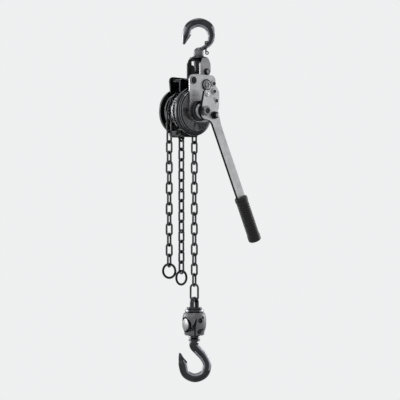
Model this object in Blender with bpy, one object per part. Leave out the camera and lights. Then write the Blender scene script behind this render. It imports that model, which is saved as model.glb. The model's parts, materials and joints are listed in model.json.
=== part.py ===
# Ratchet lever chain hoist, hanging from its top hook.
# Metres, +Z up. The origin is the point inside the top hook's bowl that the hoist hangs on.
# The load wheel turns about Y, the front (lever) side faces -Y, and the load chain drops at +X.

import math

import bmesh
import bpy
from mathutils import Matrix, Vector

# Clearances
SEAT_GAP = 0.0003
RUNNING_GAP = 0.0005
WHEEL_GAP = 0.001

# Load chain
LINK_PITCH = 0.0258
LINK_WIDTH = 0.020
END_LINK = (0.037, 0.026)
WIRE = 0.0052
FUSE_DEPTH = 0.0005
PIVOT_PLAY = 0.0008
LOAD_LINKS = (5, 5, 4, 4)
TAIL_LINKS = (5, 5, 5)
SPARE_LINKS = (5, 4, 4)
LINKS_ON_WHEEL = 5
STRAND_TWIST = math.radians(21)
RING_RADIUS = 0.0156
RING_WIRE = 0.0048

# Load wheel and ratchet
POCKETS = 5
FLANGE_THICKNESS = 0.005
FLANGE_RIM = 0.00425
LUG_RIM = 0.00075
LUG_HALF_FOOT = 0.0072
LUG_HALF_TIP = 0.0045
SHAFT_RADIUS = 0.009
RATCHET_TEETH = 40
RATCHET_LIP = 0.003
RATCHET_TURN = math.radians(-3)
TOOTH_DEPTH = 0.0042
RATCHET_THICKNESS = 0.009
PLATE_DISC_RADIUS = 0.044
PLATE_DISC_THICKNESS = 0.004
BRAKE_HUB_RADIUS = 0.014
FRICTION_RADIUS = 0.042
FRICTION_HOLE = 0.022
FRICTION_THICKNESS = 0.003
PAWL_TIP_ANGLE = math.radians(76)
PAWL_TIP_GAP = 0.0008
PAWL_EYE_RADIUS = 0.009

# Frame
PLATE_THICKNESS = 0.004
REAR_COVER_RADIUS = 0.055
REAR_COVER_THICKNESS = 0.005
FRONT_COVER_RADIUS = 0.061
FRONT_COVER_DEPTH = 0.0155
COVER_WALL = 0.003
FRAME_DEPTH = 0.0355
BUSH_WALL = 0.004
STAY_RADIUS = 0.0045
STAY_HEAD_RADIUS = 0.008
STAY_HEAD_HEIGHT = 0.004
GUIDE_HALF_LENGTH = 0.026
GUIDE_HEIGHT = 0.014
EYE_WIRE = 0.006
EYE_HOLE = 0.0043
EYE_THICKNESS = 0.004
TOP_STAY = (-0.015, 0.0757)
UPPER_STAY = (0.052, 0.070)
PAWL_PIN = (0.054, 0.0505)
LOWER_STAY = (0.061, 0.0275)
YOKE_BOLT = (0.028, 0.066)
YOKE_BOLT_RADIUS = 0.006
YOKE_BOLT_HEAD = (0.0115, 0.005)
GUIDE_BOLT_RADIUS = 0.003
GUIDE_BOLT_SIDE = 0.018
SPARE_X = -0.0015
FRONT_EAR = 0.0147
REAR_EAR = 0.0115
# Corners of the three plates from the axle: across, up, corner radius
FRONT_CORNERS = ((-0.0275, -0.0275, 0.027), (0.030, -0.0275, 0.025), (0.071, 0.006, 0.014),
                 (0.073, 0.050, 0.014), (0.061, 0.064, 0.010))
FRONT_SHOULDER = (0.058, 0.014)
FRONT_STEP = (-0.0275, 0.056, 0.006)
REAR_CORNERS = ((0.050, -0.012, 0.020), (0.071, 0.008, 0.012), (0.071, 0.056, 0.012), (0.060, 0.0845, 0.012))
REAR_STEP = ((-0.0225, 0.055, 0.005), (-0.0225, -0.030, 0.010))
INNER_CORNERS = ((0.050, -0.012, 0.020), (0.069, 0.010, 0.010), (0.069, 0.070, 0.014), (0.040, 0.0795, 0.010),
                 (-0.033, 0.0795, 0.007), (-0.033, 0.050, 0.010), (-0.024, 0.020, 0.010))
FOOT_HALF_WIDTH = 0.024
FOOT_CORNER = 0.008
FOOT_LIP = 0.003

# Top hook and yoke
YOKE_SIDE = 0.0375
YOKE_FORWARD = 0.0215
AXLE_DROP = 0.2125
CHEEK_THICKNESS = 0.0045
CHEEK_HALF_WIDTH = 0.0175
CHEEK_SPREAD = 0.041
CHEEK_SHOULDER = 0.010
CHEEK_SLOPE = 0.014
CHEEK_DROP = 0.034
BRIDGE_THICKNESS = 0.0035
YOKE_PIN_RADIUS = 0.004
YOKE_PIN_HEAD = (0.0085, 0.005)
YOKE_PIN_SIDE = 0.004
HOOK_TURN = math.radians(-43)
HOOK_RADIUS = 0.0315
HOOK_THICKNESS = 0.0225
COLLAR_RADIUS = 0.023
COLLAR_THICKNESS = 0.006
DOME_RADIUS = 0.0125
DOME_HEIGHT = 0.0215
HOOK_STEM_RADIUS = 0.008
HOOK_STEM_LENGTH = 0.040
COLLAR_TOP = -0.0725
LATCH_WIRE = 0.0035

# Lever
HUB_RADIUS = 0.0255
HUB_DEPTH = 0.016
HEAD_THICKNESS = 0.007
LEVER_ANGLE = math.radians(25.2)
LEVER_OFFSET = 0.0242
BAR_WIDTH = 0.0255
BAR_LENGTH = 0.342
GRIP_LENGTH = 0.121
GRIP_RADIUS = 0.0165
# Corners of the arm's head from the axle: across, up, corner radius
ARM_CORNERS = ((-0.0145, -0.017, 0.014), (0.001, 0.0515, 0.0075), (0.0165, 0.0515, 0.0075), (0.0455, 0.004, 0.012))
ARM_FRONT = (0.055, 0.030)
ARM_BACK = (0.032, 0.020)
SELECTOR_PLACE = (0.0325, -0.010)
HEAD_SCREW_PLACE = (0.0085, 0.041)

# Bottom block
BAIL_WIRE = 0.007
BAIL_SQUASH = 1.7
BAIL_HALF_WIDTH = 0.0135
BAIL_HEIGHT = 0.025
BLOCK_RADIUS = 0.030
BLOCK_HEIGHT = 0.057
BLOCK_COLLAR_RADIUS = 0.0235
BLOCK_COLLAR_HEIGHT = 0.008
NECK_RADIUS = 0.0145
NECK_HEIGHT = 0.015
BLOCK_BOLTS = ((0.0195, 0.012), (0.0195, 0.042), (-0.0195, 0.042))

# Places worked out from the sizes
AXLE = Vector((-YOKE_SIDE, YOKE_FORWARD, -AXLE_DROP))
NODE_RADIUS = LINK_PITCH / (2 * math.sin(math.pi / (2 * POCKETS)))
FLANGE_RADIUS = NODE_RADIUS + FLANGE_RIM
RATCHET_RADIUS = FLANGE_RADIUS + RATCHET_LIP
GUIDE_TOP = FLANGE_RADIUS + WHEEL_GAP
FOOT = -GUIDE_TOP - GUIDE_HEIGHT - FOOT_LIP
LINK_OVERHANG = WIRE - FUSE_DEPTH / 2
WIRE_RIM = WIRE / 2 / math.cos(math.pi / 6)
GROOVE_HALF = LINK_WIDTH / 2 + WHEEL_GAP
WHEEL_HALF = GROOVE_HALF + FLANGE_THICKNESS
REAR_PLATE_BACK = WHEEL_HALF + RUNNING_GAP + PLATE_THICKNESS
REAR_COVER_BACK = REAR_PLATE_BACK + SEAT_GAP + REAR_COVER_THICKNESS
RATCHET_BACK = -WHEEL_HALF - SEAT_GAP
RATCHET_FRONT = RATCHET_BACK - RATCHET_THICKNESS
INNER_PLATE_BACK = RATCHET_FRONT - WHEEL_GAP
INNER_PLATE_FRONT = INNER_PLATE_BACK - PLATE_THICKNESS
FRONT_PLATE_BACK = -WHEEL_HALF - FRAME_DEPTH - PLATE_THICKNESS
FRONT_PLATE_FRONT = FRONT_PLATE_BACK - PLATE_THICKNESS
COVER_FRONT = FRONT_PLATE_BACK + SEAT_GAP
COVER_BACK = COVER_FRONT + FRONT_COVER_DEPTH
HUB_BACK = FRONT_PLATE_FRONT - RUNNING_GAP
HEAD_BACK = HUB_BACK - HUB_DEPTH
HEAD_FRONT = HEAD_BACK - HEAD_THICKNESS
BEARING_RADIUS = SHAFT_RADIUS + RUNNING_GAP + BUSH_WALL


def paint(name, colour, roughness, metallic):
    """A plain Principled material."""
    material = bpy.data.materials.new(name)
    material.use_nodes = True
    shader = material.node_tree.nodes["Principled BSDF"]
    shader.inputs["Base Color"].default_value = (*colour, 1)
    shader.inputs["Roughness"].default_value = roughness
    shader.inputs["Metallic"].default_value = metallic
    return material


def body_empty(name, place, parent=None):
    """An empty on a joint's axis, which carries the pieces of one moving body."""
    empty = bpy.data.objects.new(name, None)
    bpy.context.scene.collection.objects.link(empty)
    empty.parent = parent
    empty.location = Vector(place) - (Vector(parent["place"]) if parent else Vector((0, 0, 0)))
    empty["place"] = Vector(place)
    return empty


def piece(name, shape, material, carrier):
    """Makes one named object from a bmesh in world space and hangs it on its body's empty."""
    place = Vector(carrier["place"])
    bmesh.ops.recalc_face_normals(shape, faces=shape.faces)
    bmesh.ops.translate(shape, verts=shape.verts, vec=-place)
    mesh = bpy.data.meshes.new(name)
    shape.to_mesh(mesh)
    shape.free()
    mesh.shade_smooth()
    mesh.set_sharp_from_angle(angle=math.radians(35))
    mesh.materials.append(material)
    obj = bpy.data.objects.new(name, mesh)
    bpy.context.scene.collection.objects.link(obj)
    obj.parent = carrier
    bpy.context.view_layer.update()
    return obj


def combine(target, tool, operation):
    """Joins a tool object to the target, or cuts it away, and removes the tool."""
    modifier = target.modifiers.new("shape", "BOOLEAN")
    modifier.operation = operation
    modifier.solver = "EXACT"
    modifier.object = tool
    seen = target.evaluated_get(bpy.context.evaluated_depsgraph_get())
    shaped = bpy.data.meshes.new_from_object(seen)
    target.modifiers.clear()
    target.data = shaped
    bpy.data.objects.remove(tool)


def cut(target, shape, carrier):
    """Cuts a bmesh shape away from the target."""
    combine(target, piece("cutter", shape, target.data.materials[0], carrier), "DIFFERENCE")


def fuse(target, shape, carrier):
    """Joins a bmesh shape to the target."""
    combine(target, piece("addition", shape, target.data.materials[0], carrier), "UNION")


def loft(rings, closed=False):
    """Skins a row of rings that have the same number of points."""
    shape = bmesh.new()
    loops = [[shape.verts.new(point) for point in ring] for ring in rings]
    count = len(loops[0])
    last = len(loops) if closed else len(loops) - 1
    for step in range(last):
        first, second = loops[step], loops[(step + 1) % len(loops)]
        for side in range(count):
            other = (side + 1) % count
            shape.faces.new((first[side], first[other], second[other], second[side]))
    if not closed:
        shape.faces.new(loops[0])
        shape.faces.new(loops[-1])
    return shape


def turned(profile, centre, axis="Y", steps=32, turn=0.0):
    """Revolves a closed profile of (radius, distance along the axis) about Y or Z."""
    shape = bmesh.new()
    columns = []
    for radius, along in profile:
        if radius < 1e-7:
            columns.append([shape.verts.new(on_axis(axis, 0, 0, along, centre))] * steps)
            continue
        column = []
        for step in range(steps):
            angle = turn + 2 * math.pi * step / steps
            flat = (radius * math.cos(angle), radius * math.sin(angle))
            column.append(shape.verts.new(on_axis(axis, *flat, along, centre)))
        columns.append(column)
    for index, first in enumerate(columns):
        second = columns[(index + 1) % len(columns)]
        for step in range(steps):
            other = (step + 1) % steps
            corners = [first[step], first[other], second[other], second[step]]
            corners = list(dict.fromkeys(corners))
            if len(corners) > 2:
                shape.faces.new(corners)
    return shape


def on_axis(axis, first, second, along, centre):
    """A point beside the Y or Z axis through the centre."""
    if axis == "Y":
        return Vector(centre) + Vector((first, along, second))
    return Vector(centre) + Vector((first, second, along))


def pin(radius, start, end, centre, axis="Y", steps=20, turn=0.0):
    """A plain round bar."""
    return turned([(0, start), (radius, start), (radius, end), (0, end)], centre, axis, steps, turn)


def washer(inner, outer, start, end, centre, axis="Y", steps=32):
    """A flat ring or bush."""
    return turned([(inner, start), (outer, start), (outer, end), (inner, end)], centre, axis, steps)


def bolt(radius, head_radius, head_height, start, end, centre, axis="Y", steps=16):
    """A bar from start to end with a round-edged head beyond each end."""
    way = 1 if end > start else -1
    edge = head_height / 3
    return turned([(0, start - way * head_height),
                   (head_radius - edge, start - way * head_height),
                   (head_radius, start - way * (head_height - edge)),
                   (head_radius, start),
                   (radius, start),
                   (radius, end),
                   (head_radius, end),
                   (head_radius, end + way * (head_height - edge)),
                   (head_radius - edge, end + way * head_height),
                   (0, end + way * head_height)], centre, axis, steps)


def rounded_outline(corners, steps=4):
    """Points of a polygon whose corners (x, z, radius) are rounded."""
    points = []
    count = len(corners)
    for index, (x, z, radius) in enumerate(corners):
        here = Vector((x, z))
        before = (Vector(corners[index - 1][:2]) - here).normalized()
        after = (Vector(corners[(index + 1) % count][:2]) - here).normalized()
        half = before.angle(after) / 2
        reach = radius / math.tan(half)
        centre = here + (before + after).normalized() * (radius / math.sin(half))
        start = here + before * reach - centre
        turn = start.angle_signed(here + after * reach - centre)
        for step in range(steps + 1):
            points.append(centre + Matrix.Rotation(-turn * step / steps, 2) @ start)
    return points


def slab(outline, back, front, turn=0.0, origin=(0, 0)):
    """A flat plate from an (x, z) outline about the axle, between two distances along Y."""
    spin = Matrix.Rotation(turn, 2)
    flat = [spin @ Vector(point) + Vector(origin) for point in outline]
    return loft([[AXLE + Vector((x, along, z)) for x, z in flat] for along in (back, front)])


def tube(points, radii, sides=10, squash=1.0, normal=None):
    """A bar of changing thickness along a row of points; normal keeps a flat path level."""
    rings = []
    count = len(points)
    for index, point in enumerate(points):
        ahead = points[min(index + 1, count - 1)] - points[max(index - 1, 0)]
        ahead.normalize()
        side = ahead.cross(normal).normalized()
        level = side.cross(ahead).normalized()
        ring = []
        for step in range(sides):
            angle = 2 * math.pi * step / sides
            ring.append(point + radii[index] * (math.cos(angle) * side + squash * math.sin(angle) * level))
        rings.append(ring)
    return loft(rings)


def smooth_row(keys, steps=4):
    """Points on a smooth curve through the keys, each a tuple of numbers."""
    row = []
    count = len(keys)
    for index in range(count - 1):
        around = [Vector(keys[min(max(index + shift, 0), count - 1)]) for shift in (-1, 0, 1, 2)]
        for step in range(steps):
            t = step / steps
            weights = ((-t + 2 * t ** 2 - t ** 3) / 2,
                       (2 - 5 * t ** 2 + 3 * t ** 3) / 2,
                       (t + 4 * t ** 2 - 3 * t ** 3) / 2,
                       (-t ** 2 + t ** 3) / 2)
            row.append(sum((w * key for w, key in zip(weights, around)), Vector((0,) * len(keys[0]))))
    row.append(Vector(keys[-1]))
    return row


def link(centre, along, across, pitch=LINK_PITCH, width=LINK_WIDTH):
    """One chain link: a six-sided wire along a stadium, flats facing in so that links can seat."""
    bend = (width - WIRE) / 2
    straight = pitch / 2 + LINK_OVERHANG - WIRE / 2 - bend
    normal = along.cross(across)
    rings = []
    for end in (1, -1):
        for step in range(6):
            angle = -math.pi / 2 + math.pi * step / 5
            out = end * (math.cos(angle) * along + math.sin(angle) * across)
            reach = bend * math.cos(angle) / math.cos(math.pi / 10)
            spine = centre + end * ((straight + reach) * along + bend * math.sin(angle) * across)
            ring = []
            for corner in range(6):
                tilt = math.pi / 6 + corner * math.pi / 3
                ring.append(spine + WIRE_RIM * (math.cos(tilt) * out + math.sin(tilt) * normal))
            rings.append(ring)
    return loft(rings, closed=True)


def strand(name, pivot, groups, side_angle, twist, material, carrier, first_wire=WIRE, end_link=None):
    """A hanging chain in jointed segments; returns the last empty, its lowest wire's middle and the next side."""
    down = Vector((0, 0, -1))
    angle = side_angle
    wire = first_wire
    for number, links in enumerate(groups, start=1):
        carrier = body_empty(f"{name}_{number}_pivot", pivot, carrier)
        node = pivot + Vector((0, 0, wire / 2 + PIVOT_PLAY + WIRE - LINK_OVERHANG))
        obj = None
        for index in range(links):
            last = number == len(groups) and index == links - 1
            pitch, width = end_link if end_link and last else (LINK_PITCH, LINK_WIDTH)
            across = Vector((math.cos(angle), math.sin(angle), 0))
            shape = link(node + pitch / 2 * down, down, across, pitch, width)
            if obj is None:
                obj = piece(f"{name}_{number}", shape, material, carrier)
            else:
                fuse(obj, shape, carrier)
            node = node + pitch * down
            angle += math.pi / 2 + (twist / groups[0] if number == 1 else 0)
        pivot = node + (LINK_OVERHANG - WIRE / 2) * down
        wire = WIRE
    return carrier, pivot, angle


def chain_ring(name, pivot, side_angle, material, carrier):
    """The round end ring of a slack chain, hung on its last link."""
    empty = body_empty(f"{name}_pivot", pivot, carrier)
    across = Vector((math.cos(side_angle), math.sin(side_angle), 0))
    up = Vector((0, 0, 1))
    normal = across.cross(up)
    wire = RING_WIRE / 2
    centre = pivot + up * ((WIRE + RING_WIRE) / 2 + PIVOT_PLAY - RING_RADIUS)
    rings = []
    for step in range(16):
        angle = 2 * math.pi * step / 16
        out = math.sin(angle) * across + math.cos(angle) * up
        rings.append([centre + (RING_RADIUS + wire * math.cos(t)) * out + wire * math.sin(t) * normal
                      for t in (math.pi / 3 * corner for corner in range(6))])
    piece(name, loft(rings, closed=True), material, empty)


def hook_shape(keys, centre, side, squash):
    """A forged hook: (across, up, radius) keys in units of the bowl's radius and half thickness."""
    row = smooth_row(keys, 3)
    points = [centre + HOOK_RADIUS * (key[0] * side + key[1] * Vector((0, 0, 1))) for key in row]
    radii = [HOOK_THICKNESS / 2 * key[2] for key in row]
    normal = side.cross(Vector((0, 0, 1)))
    return tube(points, radii, 10, squash, normal)


def make_top_hook(carrier, steel, dark):
    """The top hook with its domed head and stem, the latch and its pin."""
    side = Vector((math.cos(HOOK_TURN), math.sin(HOOK_TURN), 0))
    bowl = Vector((0, 0, HOOK_THICKNESS / 2 - HOOK_RADIUS))
    collar_top = COLLAR_TOP
    keys = [(0.05, -1.25, 0.50), (0.30, -1.08, 0.50), (0.58, -0.90, 0.52), (0.83, -0.66, 0.60), (0.98, -0.32, 0.82),
            (1.02, 0.08, 0.94), (0.74, 0.70, 1.0), (0.0, 1.0, 1.0), (-0.72, 0.70, 0.96),
            (-1.0, 0.0, 0.88), (-1.06, -0.30, 0.74), (-1.20, -0.74, 0.12)]
    hook = piece("top_hook", hook_shape(keys, bowl, side, 0.86), steel, carrier)
    dome = [(0, collar_top + DOME_HEIGHT)]
    for step in range(1, 7):
        angle = math.pi / 2 * step / 6
        dome.append((DOME_RADIUS * math.sin(angle), collar_top + DOME_HEIGHT - DOME_RADIUS * (1 - math.cos(angle))))
    dome += [(DOME_RADIUS, collar_top + SEAT_GAP),
             (HOOK_STEM_RADIUS, collar_top + SEAT_GAP),
             (HOOK_STEM_RADIUS, collar_top - COLLAR_THICKNESS - HOOK_STEM_LENGTH),
             (0, collar_top - COLLAR_THICKNESS - HOOK_STEM_LENGTH)]
    fuse(hook, turned(dome, (0, 0, 0), "Z", 20), carrier)
    nut_top = collar_top - COLLAR_THICKNESS - 0.004
    nut_end = collar_top - COLLAR_THICKNESS - HOOK_STEM_LENGTH + 0.002
    shape = turned([(0, nut_top), (0.0115, nut_top), (0.0125, nut_top - 0.002), (0.0105, nut_end), (0, nut_end)],
                   (0, 0, 0), "Z", 12)
    nut = piece("hook_nut", shape, dark, carrier)
    cut(nut, pin(HOOK_STEM_RADIUS + SEAT_GAP, nut_end - 0.01, nut_top + 0.01, (0, 0, 0), "Z"), carrier)
    make_latch(bowl, side, carrier, dark)


def make_latch(bowl, side, carrier, dark):
    """The wire latch that hangs from a pin through the back of the hook."""
    normal = side.cross(Vector((0, 0, 1)))
    up = Vector((0, 0, 1))
    pivot = bowl + HOOK_RADIUS * (0.60 * side - 0.62 * up)
    hook = bpy.data.objects["top_hook"]
    pin_length = 0.011
    along = normal.to_track_quat("Y", "Z").to_matrix()

    def across_pin(radius, half):
        rings = []
        for reach in (-half, half):
            rings.append([pivot + along @ Vector((radius * math.cos(t), reach, radius * math.sin(t)))
                          for t in (2 * math.pi * step / 12 for step in range(12))])
        return loft(rings)

    lug = tube([pivot + HOOK_RADIUS * (0.40 * side), pivot + HOOK_RADIUS * (0.12 * side), pivot - 0.12 * HOOK_RADIUS * side],
               [0.006, 0.0052, 0.0046], 10, 0.7, normal)
    fuse(hook, lug, carrier)
    cut(hook, across_pin(0.0018 + SEAT_GAP, 0.02), carrier)
    piece("latch_pin", across_pin(0.0018, pin_length), dark, carrier)
    empty = body_empty("latch_pivot", pivot, carrier)
    keys = [(0.0, 0.0), (0.001, -0.010), (-0.002, -0.020), (-0.001, -0.026), (0.004, -0.0305)]
    eye = washer(0.0018 + SEAT_GAP, 0.0045, 0.0056, 0.0056 + LATCH_WIRE, (0, 0, 0), "Y", 16)
    bmesh.ops.rotate(eye, verts=eye.verts, cent=(0, 0, 0), matrix=along)
    bmesh.ops.translate(eye, verts=eye.verts, vec=pivot)
    latch = piece("top_latch", eye, dark, empty)
    level = pivot + (0.0056 + LATCH_WIRE / 2) * normal
    row = smooth_row(keys[1:], 3)
    points = [level + key[0] * side + key[1] * up for key in row]
    points.insert(0, level + 0.001 * side - 0.0032 * up)
    fuse(latch, tube(points, [LATCH_WIRE / 2] * len(points), 8, 1.0, normal), empty)


def make_yoke(carrier, steel, dark):
    """The swivel collar, the two-cheeked yoke and its bolts."""
    top = COLLAR_TOP
    piece("swivel_collar", washer(HOOK_STEM_RADIUS + RUNNING_GAP, COLLAR_RADIUS, top - COLLAR_THICKNESS, top,
                                  (0, 0, 0), "Z", 36), steel, carrier)
    bridge_top = top - COLLAR_THICKNESS - SEAT_GAP
    half = CHEEK_SPREAD / 2 + CHEEK_THICKNESS
    bolt_x = YOKE_BOLT[0] - YOKE_SIDE
    bolt_z = YOKE_BOLT[1] - AXLE_DROP
    end_z = bolt_z - 1.25 * YOKE_BOLT_RADIUS
    side_z = bolt_z + 0.67 * YOKE_BOLT_RADIUS
    outline = [(-CHEEK_SHOULDER, bridge_top),
               (CHEEK_SHOULDER, bridge_top),
               (CHEEK_HALF_WIDTH, bridge_top - CHEEK_SLOPE),
               (CHEEK_HALF_WIDTH, bridge_top - CHEEK_DROP),
               (bolt_x + 1.67 * YOKE_BOLT_RADIUS, side_z),
               (bolt_x + 0.92 * YOKE_BOLT_RADIUS, end_z),
               (bolt_x - 0.42 * YOKE_BOLT_RADIUS, end_z),
               (-CHEEK_HALF_WIDTH, side_z),
               (-CHEEK_HALF_WIDTH, bridge_top - CHEEK_SLOPE)]
    yoke = piece("top_yoke", loft([[Vector((x, y, z)) for x, z in outline] for y in (-half, half)]), steel, carrier)
    inside = half - CHEEK_THICKNESS
    gap_top = bridge_top - BRIDGE_THICKNESS
    reach = 3 * CHEEK_SPREAD
    gap = [(-reach, gap_top), (reach, gap_top), (reach, bolt_z - reach), (-reach, bolt_z - reach)]
    cut(yoke, loft([[Vector((x, y, z)) for x, z in gap] for y in (-inside, inside)]), carrier)
    cut(yoke, pin(HOOK_STEM_RADIUS + RUNNING_GAP, bridge_top - 0.01, bridge_top + 0.01, (0, 0, 0), "Z", 24), carrier)
    bolt_place = AXLE + Vector((YOKE_BOLT[0], 0, YOKE_BOLT[1]))
    cut(yoke, pin(YOKE_BOLT_RADIUS + SEAT_GAP, -0.1, 0.1, bolt_place, "Y", 20), carrier)
    pin_place = Vector((YOKE_PIN_SIDE, 0, bridge_top - CHEEK_DROP))
    cut(yoke, pin(YOKE_PIN_RADIUS + SEAT_GAP, -0.1, 0.1, pin_place, "Y", 16), carrier)
    piece("yoke_pin", bolt(YOKE_PIN_RADIUS, *YOKE_PIN_HEAD, -half - SEAT_GAP, -half + CHEEK_THICKNESS + WHEEL_GAP,
                           pin_place, "Y", 20), dark, carrier)


def frame_holes(plate, back, front, carrier, names):
    """Round holes for the stays and bolts that pass a plate."""
    for (x, z), radius in names:
        cut(plate, pin(radius + SEAT_GAP, back + 0.01, front - 0.01, AXLE + Vector((x, 0, z)), "Y", 16), carrier)


def make_frame(carrier, grey, black, steel, dark, brass):
    """The three plates, the covers, the stays, the bushes and the chain guide."""
    stays = [(TOP_STAY, STAY_RADIUS), (UPPER_STAY, STAY_RADIUS), (PAWL_PIN, STAY_RADIUS), (LOWER_STAY, STAY_RADIUS)]
    shaft_hole = [((0, 0), BEARING_RADIUS)]
    yoke_hole = [(YOKE_BOLT, YOKE_BOLT_RADIUS)]
    ear_z = TOP_STAY[1] + FRONT_EAR
    front_outline = rounded_outline([*FRONT_CORNERS,
                                     (FRONT_SHOULDER[0], ear_z, FRONT_SHOULDER[1]),
                                     (TOP_STAY[0] - FRONT_EAR, ear_z, 0.96 * FRONT_EAR),
                                     FRONT_STEP])
    front = piece("front_plate", slab(front_outline, FRONT_PLATE_BACK, FRONT_PLATE_FRONT), grey, carrier)
    frame_holes(front, FRONT_PLATE_BACK, FRONT_PLATE_FRONT, carrier, stays + shaft_hole + yoke_hole)
    foot = [(-FOOT_HALF_WIDTH, FOOT, FOOT_CORNER), (FOOT_HALF_WIDTH, FOOT, FOOT_CORNER)]
    rear_outline = rounded_outline([*foot, *REAR_CORNERS,
                                    (TOP_STAY[0] - REAR_EAR, TOP_STAY[1] + REAR_EAR, 0.96 * REAR_EAR),
                                    *REAR_STEP])
    rear = piece("rear_plate", slab(rear_outline, REAR_PLATE_BACK, REAR_PLATE_BACK - PLATE_THICKNESS), black, carrier)
    frame_holes(rear, REAR_PLATE_BACK, REAR_PLATE_BACK, carrier, stays + shaft_hole + yoke_hole + guide_bolts())
    inner_outline = rounded_outline([*foot, *INNER_CORNERS])
    inner = piece("inner_plate", slab(inner_outline, INNER_PLATE_BACK, INNER_PLATE_FRONT), black, carrier)
    hub_hole = [((0, 0), BRAKE_HUB_RADIUS + RUNNING_GAP)]
    frame_holes(inner, INNER_PLATE_BACK, INNER_PLATE_FRONT, carrier, stays + hub_hole + yoke_hole + guide_bolts())
    make_covers(carrier, black, dark)
    make_stays(carrier, steel, dark)
    bush_spans = {"rear_bearing": (REAR_PLATE_BACK, REAR_PLATE_BACK - PLATE_THICKNESS),
                  "front_bearing": (FRONT_PLATE_BACK, FRONT_PLATE_FRONT)}
    for name, (back, front_face) in bush_spans.items():
        bush = washer(SHAFT_RADIUS + RUNNING_GAP, BEARING_RADIUS, front_face, back, AXLE, "Y", 24)
        piece(name, bush, brass, carrier)
    return make_guide(carrier, black, dark)


def guide_bolts():
    """The places of the two bolts that hold the chain guide."""
    z = -GUIDE_TOP - GUIDE_HEIGHT / 2
    return [((side * GUIDE_BOLT_SIDE, z), GUIDE_BOLT_RADIUS) for side in (-1, 1)]


def make_covers(carrier, black, dark):
    """The round rear cover and the stepped round front cover, hollow towards the ratchet."""
    back, front = REAR_COVER_BACK, REAR_PLATE_BACK + SEAT_GAP
    r = REAR_COVER_RADIUS
    rear = [(0, front), (r - 0.001, front), (r, front + 0.001), (r, back - 0.0015), (r - 0.0015, back),
            (r - 0.007, back), (r - 0.008, back - 0.001), (0.016, back - 0.001), (0.014, back), (0, back)]
    cover = piece("rear_cover", turned(rear, AXLE, "Y", 36), black, carrier)
    cut(cover, pin(SHAFT_RADIUS + RUNNING_GAP, front - 0.01, front + 0.003, AXLE, "Y", 24), carrier)
    for place, radius in [(YOKE_BOLT, YOKE_BOLT_RADIUS)]:
        if math.hypot(*place) - radius < r:
            cut(cover, pin(radius + SEAT_GAP, front - 0.01, back + 0.01, AXLE + Vector((place[0], 0, place[1]))), carrier)
    r = FRONT_COVER_RADIUS
    f, b = COVER_FRONT, COVER_BACK
    hole = SHAFT_RADIUS + RUNNING_GAP
    shell = [(hole, f), (r - 0.012, f), (r - 0.0125, f + 0.0015), (r - 0.008, f + 0.002), (r - 0.007, f + 0.004),
             (r - 0.0045, f + 0.0045), (r - 0.0045, f + 0.0075), (r - 0.001, f + 0.008), (r, f + 0.009),
             (r, b - 0.001), (r - 0.001, b), (r - COVER_WALL - 0.001, b), (r - COVER_WALL - 0.001, f + 0.0115),
             (r - 0.0125 - COVER_WALL / 2, f + 0.006), (hole, f + 0.006)]
    piece("front_cover", turned(shell, AXLE, "Y", 40), dark, carrier)


def make_stays(carrier, steel, dark):
    """The bolts that hold the plates apart and carry the yoke."""
    back, front = REAR_PLATE_BACK + SEAT_GAP, FRONT_PLATE_FRONT - SEAT_GAP
    places = {"top_stay_bolt": TOP_STAY, "upper_stay_bolt": UPPER_STAY, "pawl_pin": PAWL_PIN, "lower_stay_bolt": LOWER_STAY}
    for name, (x, z) in places.items():
        shape = bolt(STAY_RADIUS, STAY_HEAD_RADIUS, STAY_HEAD_HEIGHT, front, back, AXLE + Vector((x, 0, z)))
        piece(name, shape, steel, carrier)
    bolt_place = AXLE + Vector((YOKE_BOLT[0], 0, YOKE_BOLT[1]))
    shape = bolt(YOKE_BOLT_RADIUS, *YOKE_BOLT_HEAD, front, back, bolt_place, "Y", 20)
    piece("yoke_bolt", shape, dark, carrier)


def make_guide(carrier, black, dark):
    """The block under the wheel that keeps the chain in its pockets, with the spare chain's eye."""
    top = -GUIDE_TOP
    bottom = top - GUIDE_HEIGHT
    half = GUIDE_HALF_LENGTH
    outline = rounded_outline([(-half, bottom, 0.003), (half, bottom, 0.003), (half, top, 0.002), (-half, top, 0.002)], 3)
    back = REAR_PLATE_BACK - PLATE_THICKNESS - SEAT_GAP
    front = INNER_PLATE_BACK + SEAT_GAP
    guide = piece("chain_guide", slab(outline, back, front), black, carrier)
    cut(guide, pin(RATCHET_RADIUS + WHEEL_GAP, RATCHET_BACK + RUNNING_GAP, -0.1, AXLE, "Y", 40), carrier)
    eye_z = bottom - EYE_HOLE
    reach = EYE_HOLE + EYE_WIRE
    left, right = SPARE_X - reach, SPARE_X + reach
    eye = slab(rounded_outline([(left, eye_z - reach, reach - 0.0005), (right, eye_z - reach, reach - 0.0005),
                                (right, bottom + 0.002, 0.001), (left, bottom + 0.002, 0.001)]),
               -EYE_THICKNESS / 2, EYE_THICKNESS / 2)
    fuse(guide, eye, carrier)
    eye_place = AXLE + Vector((SPARE_X, 0, eye_z))
    cut(guide, pin(EYE_HOLE, -0.02, 0.02, eye_place, "Y", 16), carrier)
    eye_place.z -= SEAT_GAP + EYE_WIRE / 2 + PIVOT_PLAY + WIRE / 2
    for number, ((x, z), radius) in enumerate(guide_bolts(), start=1):
        place = AXLE + Vector((x, 0, z))
        cut(guide, pin(radius + SEAT_GAP, -0.1, 0.1, place, "Y", 12), carrier)
        head = INNER_PLATE_FRONT - SEAT_GAP
        profile = [(0, head - 0.003), (0.0055, head - 0.003), (0.0055, head), (radius, head),
                   (radius, REAR_PLATE_BACK - RUNNING_GAP), (0, REAR_PLATE_BACK - RUNNING_GAP)]
        piece(f"guide_bolt_{number}", turned(profile, place, "Y", 12), dark, carrier)
    return eye_place


def polar(radius, angle):
    """A point (x, z) about the axle."""
    return (radius * math.cos(angle), radius * math.sin(angle))


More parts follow.
